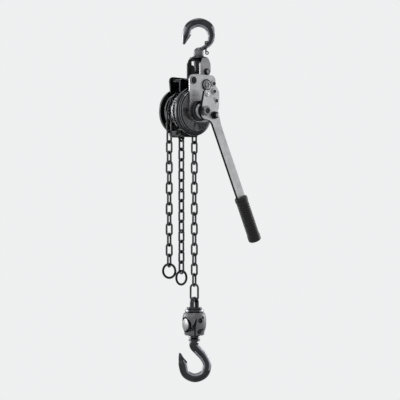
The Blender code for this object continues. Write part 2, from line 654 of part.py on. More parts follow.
def saw_teeth(radius, depth, teeth, turn=0.0):
    """A ratchet outline whose steep faces look clockwise as seen from the front."""
    points = []
    for tooth in range(teeth):
        angle = turn + 2 * math.pi * tooth / teeth
        points.append(polar(radius - depth, angle - math.radians(1)))
        points.append(polar(radius, angle))
    return points


def make_wheel(carrier, steel, bright, dark, chain_steel):
    """The pocket wheel, the chain on it, the ratchet, the shaft and its brake discs."""
    bore = SHAFT_RADIUS + SEAT_GAP
    chord = NODE_RADIUS * math.cos(math.pi / (2 * POCKETS))
    land = chord - WIRE_RIM - WHEEL_GAP / 2
    core = chord - LINK_WIDTH / 2 - WHEEL_GAP
    slot = WIRE_RIM + WHEEL_GAP
    half = [(bore, WHEEL_HALF), (FLANGE_RADIUS, WHEEL_HALF), (FLANGE_RADIUS, GROOVE_HALF), (land, GROOVE_HALF),
            (land, slot), (core, slot)]
    profile = half + [(radius, -along) for radius, along in reversed(half)]
    wheel = piece("load_wheel", turned(profile, AXLE, "Y", 40), bright, carrier)
    for pocket in range(POCKETS):
        turn = math.radians(54) + 2 * math.pi * pocket / POCKETS
        tip = NODE_RADIUS + LUG_RIM
        lug = [(land - 0.002, -LUG_HALF_FOOT), (land - 0.002, LUG_HALF_FOOT), (tip, LUG_HALF_TIP), (tip, -LUG_HALF_TIP)]
        for side in (1, -1):
            fuse(wheel, slab(lug, side * slot, side * (GROOVE_HALF + 0.001), turn), carrier)
    wrapped = None
    for index in range(LINKS_ON_WHEEL):
        angle = (2 * index + 1) * math.pi / (2 * POCKETS)
        out = Vector((math.cos(angle), 0, math.sin(angle)))
        across = out if index % 2 else Vector((0, 1, 0))
        shape = link(AXLE + chord * out, Vector((-out.z, 0, out.x)), across)
        if wrapped is None:
            wrapped = piece("wheel_chain", shape, chain_steel, carrier)
        else:
            fuse(wrapped, shape, carrier)
    teeth = saw_teeth(RATCHET_RADIUS, TOOTH_DEPTH, RATCHET_TEETH, RATCHET_TURN)
    ratchet = piece("ratchet_wheel", slab(teeth, RATCHET_BACK, RATCHET_FRONT), bright, carrier)
    cut(ratchet, pin(bore, -0.1, 0.1, AXLE, "Y", 32), carrier)
    disc_back = COVER_BACK - 0.0008
    disc_front = disc_back - PLATE_DISC_THICKNESS
    hub_back = INNER_PLATE_FRONT - RUNNING_GAP
    plate = [(bore, hub_back), (BRAKE_HUB_RADIUS, hub_back), (BRAKE_HUB_RADIUS, disc_back),
             (PLATE_DISC_RADIUS, disc_back), (PLATE_DISC_RADIUS, disc_front), (bore, disc_front)]
    piece("pressure_plate", turned(plate, AXLE, "Y", 28), steel, carrier)
    pad_front = disc_front - SEAT_GAP - FRICTION_THICKNESS
    pad = washer(FRICTION_HOLE, FRICTION_RADIUS, pad_front, disc_front - SEAT_GAP, AXLE, "Y", 28)
    piece("friction_disc", pad, dark, carrier)
    back = REAR_PLATE_BACK + 0.0025
    shaft = [(0, back), (SHAFT_RADIUS, back), (SHAFT_RADIUS, HEAD_FRONT - 0.003), (0.007, HEAD_FRONT - 0.003),
             (0.007, HEAD_FRONT - 0.0125), (0.006, HEAD_FRONT - 0.0135), (0, HEAD_FRONT - 0.0135)]
    piece("drive_shaft", turned(shaft, AXLE, "Y", 24), steel, carrier)
    gear = slab(saw_teeth(0.0145, 0.0022, 20), HUB_BACK - 0.0006, HUB_BACK - 0.0056)
    drive = piece("drive_ratchet", gear, bright, carrier)
    cut(drive, pin(bore, -0.1, 0.1, AXLE, "Y", 24), carrier)
    profile = [(0, HEAD_FRONT - 0.0035), (0.0125, HEAD_FRONT - 0.0035), (0.0125, HEAD_FRONT - 0.0105),
               (0.0115, HEAD_FRONT - 0.0115), (0, HEAD_FRONT - 0.0115)]
    nut = piece("shaft_nut", turned(profile, AXLE, "Y", 6), steel, carrier)
    cut(nut, pin(0.007 + SEAT_GAP, -0.2, 0.0, AXLE, "Y", 24), carrier)


def make_pawl(frame, steel, dark):
    """The holding pawl on its pin, drawn resting just clear of the tooth tips."""
    x, z = PAWL_PIN
    pivot = AXLE + Vector((x, (RATCHET_BACK + RATCHET_FRONT) / 2, z))
    carrier = body_empty("pawl_pivot", pivot, frame)
    nose = TOOTH_DEPTH + PAWL_TIP_GAP
    outline = [polar(RATCHET_RADIUS + PAWL_TIP_GAP, PAWL_TIP_ANGLE),
               polar(RATCHET_RADIUS + 1.2 * nose, PAWL_TIP_ANGLE + math.radians(2.5))]
    for step in range(13):
        angle = math.radians(105 - step * 17)
        outline.append((x + PAWL_EYE_RADIUS * math.cos(angle), z + PAWL_EYE_RADIUS * math.sin(angle)))
    outline += [(x - 0.89 * PAWL_EYE_RADIUS, z - 0.59 * PAWL_EYE_RADIUS),
                polar(RATCHET_RADIUS + 0.92 * nose, PAWL_TIP_ANGLE - math.radians(5))]
    pawl = piece("holding_pawl", slab(outline, RATCHET_BACK - 0.0005, RATCHET_FRONT + 0.0005), steel, carrier)
    cut(pawl, pin(STAY_RADIUS + RUNNING_GAP, -0.1, 0.1, AXLE + Vector((x, 0, z)), "Y", 20), carrier)


def lever_point(side, along):
    """A point (x, z) from the axle, across and along the lever's bar."""
    sine, cosine = math.sin(LEVER_ANGLE), math.cos(LEVER_ANGLE)
    return (side * cosine + along * sine, side * sine - along * cosine)


def make_lever(frame, grey, steel, dark, rubber):
    """The lever with its ratchet housing, drive pawl, selector and grip."""
    carrier = body_empty("lever_pivot", AXLE + Vector((0, HEAD_BACK, 0)), frame)
    bore = SHAFT_RADIUS + RUNNING_GAP
    r, b = HUB_RADIUS, HUB_BACK
    front = HEAD_BACK + SEAT_GAP
    shell = [(bore, front), (0.016, front), (0.0175, front + 0.002), (0.0185, b - 0.0125), (0.019, b - 0.0095),
             (r - 0.001, b - 0.009), (r, b - 0.008), (r, b), (r - 0.003, b), (r - 0.003, b - 0.0065), (bore, b - 0.0065)]
    housing = piece("ratchet_housing", turned(shell, AXLE, "Y", 28), dark, carrier)
    pawl_x, pawl_z = polar(0.0185, math.radians(92))
    pawl_pivot = AXLE + Vector((pawl_x, b - 0.003, pawl_z))
    fuse(housing, pin(0.0014, b - 0.0075, b - 0.001, AXLE + Vector((pawl_x, 0, pawl_z)), "Y", 12), carrier)
    drive = body_empty("drive_pawl_pivot", pawl_pivot, carrier)
    arm = [polar(0.0150, math.radians(122)), polar(0.0176, math.radians(121))]
    for step in range(9):
        angle = math.radians(120 - 26 * step)
        arm.append((pawl_x + 0.0028 * math.cos(angle), pawl_z + 0.0028 * math.sin(angle)))
    arm.append(polar(0.0163, math.radians(108)))
    pawl = piece("drive_pawl", slab(arm, b - 0.0010, b - 0.0052), steel, drive)
    cut(pawl, pin(0.0014 + SEAT_GAP, -0.1, 0.1, AXLE + Vector((pawl_x, 0, pawl_z)), "Y", 12), drive)
    end = BAR_LENGTH
    half = BAR_WIDTH / 2
    corners = [*ARM_CORNERS,
               (*lever_point(LEVER_OFFSET + half, ARM_FRONT[0]), ARM_FRONT[1]),
               (*lever_point(LEVER_OFFSET + half, end), 0.24 * half),
               (*lever_point(LEVER_OFFSET - half, end), 0.24 * half),
               (*lever_point(LEVER_OFFSET - half, ARM_BACK[0]), ARM_BACK[1])]
    arm_plate = piece("lever_arm", slab(rounded_outline(corners), HEAD_BACK, HEAD_FRONT), grey, carrier)
    cut(arm_plate, pin(bore, -0.2, 0.1, AXLE, "Y", 24), carrier)
    selector_at = SELECTOR_PLACE
    screw_at = HEAD_SCREW_PLACE
    cut(arm_plate, pin(0.0035 + SEAT_GAP, -0.2, 0.1, AXLE + Vector((selector_at[0], 0, selector_at[1])), "Y", 16), carrier)
    cut(arm_plate, pin(0.003 + SEAT_GAP, -0.2, 0.1, AXLE + Vector((screw_at[0], 0, screw_at[1])), "Y", 16), carrier)
    screw = bolt(0.003, 0.006, 0.003, HEAD_BACK + SEAT_GAP, HEAD_FRONT - SEAT_GAP, AXLE + Vector((screw_at[0], 0, screw_at[1])))
    piece("head_screw", screw, steel, carrier)
    selector = body_empty("selector_pivot", AXLE + Vector((selector_at[0], HEAD_FRONT, selector_at[1])), carrier)
    knob = turned([(0, HEAD_BACK + 0.004), (0.006, HEAD_BACK + 0.004), (0.006, HEAD_BACK + SEAT_GAP),
                   (0.0035, HEAD_BACK + SEAT_GAP), (0.0035, HEAD_FRONT - SEAT_GAP), (0.0095, HEAD_FRONT - SEAT_GAP),
                   (0.0095, HEAD_FRONT - 0.003), (0.0078, HEAD_FRONT - 0.004), (0.0078, HEAD_FRONT - 0.010),
                   (0.006, HEAD_FRONT - 0.012), (0, HEAD_FRONT - 0.012)],
                  AXLE + Vector((selector_at[0], 0, selector_at[1])), "Y", 24)
    piece("selector_knob", knob, dark, selector)
    make_grip(carrier, rubber, end, half)


def make_grip(carrier, rubber, end, half):
    """The moulded grip that the bar's end sits in."""
    middle = (HEAD_BACK + HEAD_FRONT) / 2
    start = end - GRIP_LENGTH + 0.026
    stations = [(0, 0.86), (0.003, 1.0), (0.012, 1.0), (0.014, 0.93), (0.10, 0.93), (0.104, 1.0),
                (GRIP_LENGTH - 0.004, 1.0), (GRIP_LENGTH, 0.8)]
    points = []
    for along, _ in stations:
        x, z = lever_point(LEVER_OFFSET, start + along)
        points.append(AXLE + Vector((x, middle, z)))
    grip = piece("lever_grip", tube(points, [GRIP_RADIUS * size for _, size in stations], 20, 1.0,
                                    Vector((0, 1, 0))), rubber, carrier)
    gap = SEAT_GAP
    pocket = [lever_point(LEVER_OFFSET + half + gap, start - 0.01), lever_point(LEVER_OFFSET - half - gap, start - 0.01),
              lever_point(LEVER_OFFSET - half - gap, end + gap), lever_point(LEVER_OFFSET + half + gap, end + gap)]
    cut(grip, slab(pocket, HEAD_BACK + gap, HEAD_FRONT - gap), carrier)


def make_bottom(carrier, pivot, side_angle, steel, grey, dark):
    """The chain bail, the bolted hook block and the bottom hook."""
    up = Vector((0, 0, 1))
    empty = body_empty("bail_pivot", pivot, carrier)
    across = Vector((math.cos(side_angle), math.sin(side_angle), 0))
    normal = across.cross(up)
    crown = pivot + up * ((WIRE + BAIL_WIRE) / 2 + PIVOT_PLAY)
    arc_centre = crown - up * BAIL_HALF_WIDTH
    foot = crown - up * BAIL_HEIGHT
    points = [foot + across * BAIL_HALF_WIDTH]
    for step in range(9):
        angle = math.pi * step / 8
        points.append(arc_centre + BAIL_HALF_WIDTH * (math.cos(angle) * across + math.sin(angle) * up))
    points.append(foot - across * BAIL_HALF_WIDTH)
    bail = piece("chain_bail", tube(points, [BAIL_WIRE / 2] * len(points), 8, BAIL_SQUASH, normal), dark, empty)
    top = foot.z + 0.002
    spot = Vector((pivot.x, pivot.y, 0))
    fuse(bail, turned([(0, top), (0.0185, top), (0.0195, top - 0.002), (0.0195, top - 0.005), (0, top - 0.005)],
                      spot, "Z", 24), empty)
    collar_top = top - 0.005 - SEAT_GAP
    collar_end = collar_top - BLOCK_COLLAR_HEIGHT
    c = BLOCK_COLLAR_RADIUS
    collar = turned([(0, collar_top), (c - 0.0015, collar_top), (c, collar_top - 0.0015), (c, collar_end + 0.0015),
                     (c - 0.0015, collar_end), (0, collar_end)], spot, "Z", 28)
    piece("block_collar", collar, steel, empty)
    block_top = collar_end - SEAT_GAP
    make_block(empty, spot, block_top, grey, dark)
    make_bottom_hook(empty, spot, block_top, steel, dark)


def make_block(empty, spot, block_top, grey, dark):
    """Two bolted half shells round the bottom hook's nut."""
    side = Vector((math.cos(HOOK_TURN), math.sin(HOOK_TURN), 0))
    normal = side.cross(Vector((0, 0, 1)))
    r, h, t = BLOCK_RADIUS, BLOCK_HEIGHT, block_top
    cavity = 0.014
    neck = HOOK_STEM_RADIUS + RUNNING_GAP
    profile = [(neck, t), (r - 0.005, t), (r - 0.003, t - 0.002), (r - 0.0005, t - 0.010), (r, t - 0.020),
               (r - 0.0005, t - 0.036), (r - 0.004, t - 0.046), (r - 0.005, t - h + 0.003), (r - 0.008, t - h),
               (neck, t - h), (neck, t - h + 0.012), (cavity, t - h + 0.012), (cavity, t - 0.010), (neck, t - 0.010)]
    names = ("block_right", "block_left")
    for name, way in zip(names, (1, -1)):
        half = piece(name, turned(profile, spot, "Z", 24), grey, empty)
        block = []
        for reach in (-0.1, 0.1):
            middle = spot + Vector((0, 0, t - h / 2)) + reach * normal
            ends = [(way * SEAT_GAP / 2, 0.1), (way * SEAT_GAP / 2, -0.1), (-way * 0.1, -0.1), (-way * 0.1, 0.1)]
            block.append([middle + across * side + Vector((0, 0, up)) for across, up in ends])
        cut(half, loft(block), empty)
        for across, up in BLOCK_BOLTS:
            cut(half, side_bar(spot, side, normal, across, t - up, 0.0025 + SEAT_GAP, 0.1), empty)
    for number, (across, up) in enumerate(BLOCK_BOLTS, start=1):
        reach = math.sqrt((r - 0.003) ** 2 - across ** 2)
        shape = side_bar(spot, side, normal, across, t - up, 0.0025, reach + 0.001)
        piece(f"block_bolt_{number}", shape, dark, empty)


def side_bar(spot, side, normal, across, height, radius, reach):
    """A round bar through the block, from side to side."""
    centre = spot + across * normal + Vector((0, 0, height))
    rings = []
    for end in (-reach, reach):
        rings.append([centre + end * side + radius * (math.cos(t) * normal + math.sin(t) * Vector((0, 0, 1)))
                      for t in (2 * math.pi * step / 12 for step in range(12))])
    return loft(rings)


def make_bottom_hook(empty, spot, block_top, steel, dark):
    """The bottom hook on its swivel, with its nut inside the block and a neck ring below."""
    side = Vector((math.cos(HOOK_TURN), math.sin(HOOK_TURN), 0))
    end = block_top - BLOCK_HEIGHT
    ring_end = end - SEAT_GAP - NECK_HEIGHT
    n = NECK_RADIUS
    ring = [(HOOK_STEM_RADIUS + RUNNING_GAP, end - SEAT_GAP), (n - 0.002, end - SEAT_GAP), (n, end - 0.003),
            (n, end - 0.0055), (n - 0.003, end - 0.0075), (n, end - 0.0095), (n, ring_end + 0.002),
            (n - 0.002, ring_end), (HOOK_STEM_RADIUS + RUNNING_GAP, ring_end)]
    piece("neck_ring", turned(ring, spot, "Z", 24), steel, empty)
    swivel = body_empty("bottom_hook_pivot", spot + Vector((0, 0, ring_end)), empty)
    bowl = spot + Vector((0, 0, ring_end - 1.87 * HOOK_RADIUS)) + 0.05 * HOOK_RADIUS * side
    keys = [(-0.05, 1.78, 0.96), (-0.055, 1.50, 0.93), (0.30, 1.08, 0.98), (0.73, 0.58, 0.98), (0.97, 0.0, 0.96),
            (0.73, -0.72, 1.0), (0.0, -1.04, 1.0), (-0.72, -0.72, 0.97), (-0.98, 0.0, 0.92), (-1.05, 0.40, 0.72),
            (-1.22, 0.95, 0.12)]
    hook = piece("bottom_hook", hook_shape(keys, bowl, side, 0.86), steel, swivel)
    stem_top = end + 0.012 + 0.018
    stem = [(0, ring_end - 0.006), (HOOK_STEM_RADIUS, ring_end - 0.006), (HOOK_STEM_RADIUS, stem_top), (0, stem_top)]
    fuse(hook, turned(stem, spot, "Z", 20), swivel)
    nut = piece("bottom_hook_nut", pin(0.0128, end + 0.012 + RUNNING_GAP, end + 0.025, spot, "Z", 6), dark, swivel)
    cut(nut, pin(HOOK_STEM_RADIUS + SEAT_GAP, end, end + 0.1, spot, "Z"), swivel)


def main():
    """Builds the hoist."""
    for obj in list(bpy.data.objects):
        bpy.data.objects.remove(obj)
    grey = paint("plate_steel", (0.36, 0.36, 0.37), 0.38, 0.9)
    steel = paint("forged_steel", (0.20, 0.20, 0.21), 0.32, 0.9)
    bright = paint("bright_steel", (0.55, 0.55, 0.56), 0.25, 1.0)
    black = paint("black_steel", (0.03, 0.03, 0.033), 0.4, 0.7)
    dark = paint("dark_steel", (0.09, 0.09, 0.095), 0.35, 0.85)
    chain_steel = paint("chain_steel", (0.13, 0.13, 0.135), 0.3, 0.95)
    brass = paint("bearing_bronze", (0.55, 0.40, 0.18), 0.35, 1.0)
    rubber = paint("grip_rubber", (0.02, 0.02, 0.022), 0.6, 0.0)
    hook = body_empty("hook_support", (0, 0, 0))
    make_top_hook(hook, steel, dark)
    frame = body_empty("frame_pivot", (0, 0, COLLAR_TOP), hook)
    make_yoke(frame, steel, dark)
    eye = make_frame(frame, grey, black, steel, dark, brass)
    wheel = body_empty("wheel_pivot", AXLE, frame)
    make_wheel(wheel, steel, bright, dark, chain_steel)
    make_pawl(frame, steel, dark)
    make_lever(frame, grey, steel, dark, rubber)
    lean = math.pi / (2 * POCKETS)
    drop = Vector((math.sin(lean), 0, -math.cos(lean))) * (LINK_OVERHANG - WIRE / 2)
    load_pivot = AXLE + Vector((NODE_RADIUS, 0, 0)) + drop
    carrier, pivot, angle = strand("load_chain", load_pivot, LOAD_LINKS, 0.0, STRAND_TWIST, chain_steel, wheel,
                                   end_link=END_LINK)
    make_bottom(carrier, pivot, angle, steel, grey, dark)
    tail_pivot = AXLE + Vector((-NODE_RADIUS - drop.x, 0, drop.z))
    carrier, pivot, angle = strand("tail_chain", tail_pivot, TAIL_LINKS, 0.0, STRAND_TWIST, chain_steel, wheel)
    chain_ring("tail_ring", pivot, angle, chain_steel, carrier)
    carrier, pivot, angle = strand("spare_chain", eye, SPARE_LINKS, math.pi / 2, 0.0, chain_steel, frame, EYE_WIRE)
    chain_ring("spare_ring", pivot, angle, chain_steel, carrier)


main()
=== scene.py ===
# A ratchet lever chain hoist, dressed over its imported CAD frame.
# Metres, +Z up. The origin is where the hoist hangs, inside the bowl of its top hook.

import json
import math

import bpy
from mathutils import Matrix, Vector


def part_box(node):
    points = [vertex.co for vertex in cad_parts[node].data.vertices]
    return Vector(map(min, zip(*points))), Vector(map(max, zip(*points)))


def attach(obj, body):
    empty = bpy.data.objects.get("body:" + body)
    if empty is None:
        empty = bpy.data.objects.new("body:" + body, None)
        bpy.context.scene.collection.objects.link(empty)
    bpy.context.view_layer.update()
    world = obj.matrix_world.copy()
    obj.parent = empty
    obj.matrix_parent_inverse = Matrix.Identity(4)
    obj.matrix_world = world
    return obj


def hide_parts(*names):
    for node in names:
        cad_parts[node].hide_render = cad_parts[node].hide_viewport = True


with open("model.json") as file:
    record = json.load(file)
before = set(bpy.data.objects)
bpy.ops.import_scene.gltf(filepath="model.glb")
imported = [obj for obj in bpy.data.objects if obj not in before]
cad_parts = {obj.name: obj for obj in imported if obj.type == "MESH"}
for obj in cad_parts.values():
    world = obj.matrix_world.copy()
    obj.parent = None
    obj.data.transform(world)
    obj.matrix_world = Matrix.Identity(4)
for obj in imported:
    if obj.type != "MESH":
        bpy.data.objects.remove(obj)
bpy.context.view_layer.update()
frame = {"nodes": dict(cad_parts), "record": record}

bl_info = {
    "name": "Lever chain hoist",
    "version": (1, 0, 0),
    "blender": (4, 5, 0),
    "location": "View3D > Sidebar > Hoist",
    "description": "Builds a hand lever chain hoist piece by piece over its jointed frame",
    "category": "Add Mesh",
}

UP = Vector((0, 0, 1))
BACK = Vector((0, 1, 0))
ORIGIN = Vector((0, 0, 0))


def middle(node):
    """The middle of a CAD node's box."""
    low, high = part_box(node)
    return (Vector(low) + Vector(high)) / 2


def axis_of(node):
    """The point at Y = 0 on the axis of a bolt or knob that runs along Y."""
    spot = middle(node)
    return Vector((spot.x, 0, spot.z))


def at_depth(spot, depth):
    """A point moved to a world Y."""
    return Vector((spot.x, depth, spot.z))


def half_width(node):
    """Half the width of a CAD node's box."""
    low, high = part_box(node)
    return (high[0] - low[0]) / 2


def pivot_of(joint):
    """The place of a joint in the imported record."""
    for row in frame["record"]["behaviour"]["joints"]:
        if row["name"] == joint:
            return Vector(row["pos_m"])
    raise ValueError(f"No joint {joint}")


SHAFT = middle("drive_shaft")
AXLE = at_depth(SHAFT, middle("load_wheel").y)
AXIS = at_depth(SHAFT, 0)


def around_up(degrees):
    """A level direction, turned clockwise seen from above from where the hooks face."""
    angle = math.radians(degrees)
    return math.cos(angle) * HOOK_FACE - math.sin(angle) * HOOK_SIDE


# The hooks stand in a plane of their own, turned from the frame's
HOOK_TURN = math.radians(-43)
HOOK_SIDE = Vector((math.cos(HOOK_TURN), math.sin(HOOK_TURN), 0))
HOOK_FACE = HOOK_SIDE.cross(UP)

# Chain and wheel, in metres
LINK_PITCH = 0.0258
LINK_WIDTH = 0.020
END_LINK_PITCH = 0.037
END_LINK_WIDTH = 0.026
WIRE = 0.0052
OVERHANG = WIRE - 0.00025
PLAY = 0.0008
RING_RADIUS = 0.0170
RING_WIRE = 0.0058
LINK_TURN = math.radians(18)
CHAIN_TWIST = math.radians(21)
NODE_RADIUS = LINK_PITCH / (2 * math.sin(LINK_TURN))
CHORD_RADIUS = NODE_RADIUS * math.cos(LINK_TURN)
RATCHET_RADIUS = NODE_RADIUS + 0.00725
RATCHET_TEETH = 40
WHEEL_BORE = 0.0093
WHEEL_FLANGE = 0.005
WHEEL_SLOT_HALF = 0.0040
SHAFT_NUT_RADIUS = 0.0125
SHAFT_NUT_BORE = 0.0073
EYE_RADIUS = 0.0073
EYE_WIRE = 0.006
EYE_FLATNESS = 0.667

# Hooks and their stems
HOOK_RADIUS = 0.0315
HOOK_HALF = 0.01125
HOOK_FLATNESS = 0.86
POINT_HALF = 0.0042
HEAD_RADIUS = 0.0125
HEAD_HEIGHT = 0.0215
STEM_RADIUS = 0.0079
STEM_HOLE = 0.0085
HOOK_NUT_SLOTS = 6
LATCH_DEPTH = 0.00735
LATCH_WIRE = 0.0019
LATCH_EYE = 0.0034
LATCH_EYE_WIRE = 0.00115
LATCH_CURL_WIRE = 0.0014
LATCH_PIN_RADIUS = 0.00178
LATCH_PIN_HALF = 0.0108
LATCH_PIN_HOLE = 0.0021

# Yoke, holes and bolts of the frame
YOKE_CHEEK = 0.0045
YOKE_BRIDGE = 0.0035
RIVET_RADIUS = 0.0040
RIVET_HOLE = 0.0043
STAYS = ("top_stay_bolt", "upper_stay_bolt", "pawl_pin", "lower_stay_bolt")
GUIDE_BOLTS = ("guide_bolt_1", "guide_bolt_2")
STAY_RADIUS = 0.0045
STAY_HEAD = 0.0078
STAY_HEAD_HEIGHT = 0.004
STAY_HOLE = 0.0048
YOKE_BOLT_HOLE = 0.0063
YOKE_CHEEK_HOLE = 0.0064
YOKE_BOLT_HEAD_HEIGHT = 0.005
GUIDE_BOLT_RADIUS = 0.003
GUIDE_HOLE = 0.0033
PAWL_HOLE = 0.0051
PAWL_KNUCKLE = 0.009
SHAFT_HOLE = 0.0095
OUTER_BUSH_HOLE = 0.0138
INNER_BUSH_HOLE = 0.0148
COVER_WALL = 0.004
DIMPLES = 6
DIMPLE_CIRCLE = 0.040
DIMPLE_RADIUS = 0.0019
SMALL_HOLES = ((-0.0240, 0.0010, 0.0021), (-0.0060, -0.0330, 0.0018), (-0.0060, -0.0255, 0.0016))
DRILL_REACH = 0.1

# Lever
LEVER_ANGLE = math.radians(25.2)
BAR_HALF = 0.01275
BAR_OFFSET = 0.0242
BAR_END = 0.342
SELECTOR_HOLE = 0.0038
SCREW_HOLE = 0.0033
DRIVE_PAWL_POST = 0.0014
SCALLOPS = 9
SCALLOP_CIRCLE = 0.0091
SCALLOP_RADIUS = 0.0021
GRIP_LENGTH = 0.121
GRIP_RADIUS = 0.0165
GRIP_PAST_BAR = 0.026
GRIP_PLAY = 0.0003

# Hook block
BLOCK_RADIUS = 0.030
BLOCK_BOLTS = ((0.0195, 0.012), (0.0195, 0.042), (-0.0195, 0.042))
BLOCK_BOLT_RADIUS = 0.0025
BLOCK_BOLT_HOLE = 0.0028
BLOCK_CAVITY = 0.014
PARTING_HALF = 0.00015
BAIL_RADIUS = 0.0135
BAIL_WIRE = 0.007
BAIL_HEIGHT = 0.025
BAIL_FLATNESS = 1.7
BAIL_TURN = math.radians(201)
HEAD_DEPTHS = (0.0190, 0.0465)
SEAT_RADIUS = 0.0062
BOSS_DEPTH = 0.030
BOSS_RADIUS = 0.016
RECESS_RADIUS = 0.019
NECK_RADIUS = 0.0145
BOLT_WAY = around_up(-31)
BOSS_WAY = around_up(61)


# Modelling helpers

SAME_PLACE = 1e-6
BOX_SLACK = 1e-5

# Shares of a bolt head's radius and height
WASHER_WIDTH = 1.18
WASHER_HEIGHT = 0.3
HEAD_SHARE = 0.72
HEAD_RIM = 0.16


def clear():
    """Leaves edit mode and deselects everything."""
    if bpy.context.object and bpy.context.object.mode != "OBJECT":
        bpy.ops.object.mode_set(mode="OBJECT")
    bpy.ops.object.select_all(action="DESELECT")


def activate(piece):
    """Selects one object alone and makes it the active one."""
    clear()
    piece.select_set(True)
    bpy.context.view_layer.objects.active = piece


def edit(select=True):
    """Enters edit mode on the active object, in vertex mode, with everything or nothing selected."""
    bpy.ops.object.mode_set(mode="EDIT")
    bpy.ops.mesh.select_mode(type="VERT")
    bpy.ops.mesh.select_all(action="SELECT" if select else "DESELECT")


def apply_place(piece):
    """Puts an object's place, turn and size in its mesh."""
    activate(piece)
    bpy.ops.object.transform_apply(location=True, rotation=True, scale=True)


def settle(piece, angle=35):
    """Closes seams, turns faces out, shades by angle and puts the origin at the frame's."""
    apply_place(piece)
    edit()
    bpy.ops.mesh.remove_doubles(threshold=SAME_PLACE)
    bpy.ops.mesh.normals_make_consistent(inside=False)
    activate(piece)
    bpy.ops.object.shade_smooth_by_angle(angle=math.radians(angle))
    return piece


def draw(name, points, closed=False):
    """Draws a line through the points by extruding one vertex, and stays in edit mode."""
    clear()
    bpy.ops.mesh.primitive_plane_add(size=0.001, location=points[0])
    piece = bpy.context.object
    piece.name = name
    bpy.ops.object.transform_apply(location=True)
    edit()
    bpy.ops.mesh.merge(type="CENTER")
    row = list(points) + ([points[0]] if closed else [])
    for before, after in zip(row, row[1:]):
        bpy.ops.mesh.extrude_region_move(TRANSFORM_OT_translate={"value": after - before})
    bpy.ops.mesh.select_all(action="SELECT")
    if closed:
        bpy.ops.mesh.remove_doubles(threshold=SAME_PLACE)
        bpy.ops.mesh.select_all(action="SELECT")
    return piece


def lathe(name, profile, centre, axis="Y", steps=64, angle=28):
    """Spins a profile of (radius, place along the axis) once round Y or Z."""
    spin_axis = BACK if axis == "Y" else UP
    points = [centre + Vector((radius, 0, 0)) + along * spin_axis for radius, along in profile]
    piece = draw(name, points, closed=profile[0][0] > 0)
    bpy.ops.mesh.spin(steps=steps, angle=2 * math.pi, center=centre, axis=spin_axis)
    return settle(piece, angle)


def plate(name, outline, thick, bevel=0.0, angle=35):
    """Fills a closed outline, extrudes it by a vector and softens its edges if asked."""
    piece = draw(name, outline, closed=True)
    bpy.ops.mesh.edge_face_add()
    bpy.ops.mesh.extrude_region_move(TRANSFORM_OT_translate={"value": thick})
    settle(piece, angle)
    if bevel:
        soften(piece, bevel, angle)
    return piece


def apply_modifier(piece, modifier):
    """Applies one modifier as by hand."""
    activate(piece)
    bpy.ops.object.modifier_apply(modifier=modifier.name)


def soften(piece, width, angle=35, segments=2):
    """Rounds the sharp edges a little."""
    modifier = piece.modifiers.new("edges", "BEVEL")
    modifier.width = width
    modifier.segments = segments
    modifier.limit_method = "ANGLE"
    modifier.angle_limit = math.radians(angle)
    modifier.use_clamp_overlap = True
    apply_modifier(piece, modifier)
    return settle(piece, angle)


def drill(piece, tool):
    """Cuts a tool object out of the piece."""
    return boolean(piece, tool, "DIFFERENCE")


def weld(piece, tool):
    """Joins a tool object to the piece as one skin."""
    return boolean(piece, tool, "UNION")


def span(mesh):
    """The six sides of a mesh's box, the high ones negated, so that less is always further out."""
    rows = [[vertex.co[axis] for vertex in mesh.vertices] for axis in range(3)]
    return [min(row) for row in rows] + [-max(row) for row in rows]


def boolean(piece, tool, operation):
    """Cuts or joins, tries the next solver where an outcome leaves its box, and removes the tool."""
    start = piece.data.copy()
    limit = span(start)
    if operation == "UNION":
        limit = [min(pair) for pair in zip(limit, span(tool.data))]
    clean = False
    for solver in ("MANIFOLD", "EXACT", "FAST"):
        modifier = piece.modifiers.new("shape", "BOOLEAN")
        modifier.operation = operation
        modifier.solver = solver
        modifier.object = tool
        apply_modifier(piece, modifier)
        mesh = piece.data
        inside = all(now > least - BOX_SLACK for now, least in zip(span(mesh), limit))
        fits = inside and len(mesh.polygons) > 3
        clean = clean or fits
        if fits and len(mesh.vertices) != len(start.vertices):
            break
        piece.data = start.copy()
        bpy.data.meshes.remove(mesh)
    if not clean:
        raise RuntimeError(f"No solver could shape {piece.name} with {tool.name}")
    bpy.data.meshes.remove(start)
    bpy.data.objects.remove(tool)
    return piece


def rod(name, points, radii, sides=6):
    """A round bar through the points whose radius follows the list."""
    piece = draw(name, points)
    activate(piece)
    bpy.ops.object.convert(target="CURVE")
    curve = piece.data
    curve.dimensions = "3D"
    curve.bevel_depth = 1.0
    curve.bevel_resolution = sides
    curve.use_fill_caps = True
    for point, radius in zip(curve.splines[0].points, radii):
        point.radius = radius
    bpy.ops.object.convert(target="MESH")
    return settle(bpy.context.object, 50)


def cylinder(name, start, end, radius, vertices=32):
    """A plain drill or bar between two points."""
    clear()
    way = end - start
    bpy.ops.mesh.primitive_cylinder_add(vertices=vertices, radius=radius, depth=way.length,
                                        location=(start + end) / 2,
                                        rotation=way.to_track_quat("Z", "Y").to_euler())
    tool = bpy.context.object
    tool.name = name
    bpy.ops.object.transform_apply(location=True, rotation=True, scale=True)
    return tool


def hoop(name, place, rotation, radius, wire, steps, sides, angle):
    """A round ring of round wire."""
    clear()
    bpy.ops.mesh.primitive_torus_add(location=place, rotation=rotation, major_radius=radius,
                                     minor_radius=wire, major_segments=steps, minor_segments=sides)
    ring = bpy.context.object
    ring.name = name
    return settle(ring, angle)


def slot_cutter(place, size, rotation):
    """A box that cuts a slot."""
    clear()
    bpy.ops.mesh.primitive_cube_add(size=1, location=place, rotation=rotation)
    tool = bpy.context.object
    tool.scale = size
    return tool


def stretch(factor, centre=ORIGIN):
    """Scales the active object's mesh along world Y."""
    edit()
    bpy.ops.transform.resize(value=(1, factor, 1), center_override=centre)
    clear()


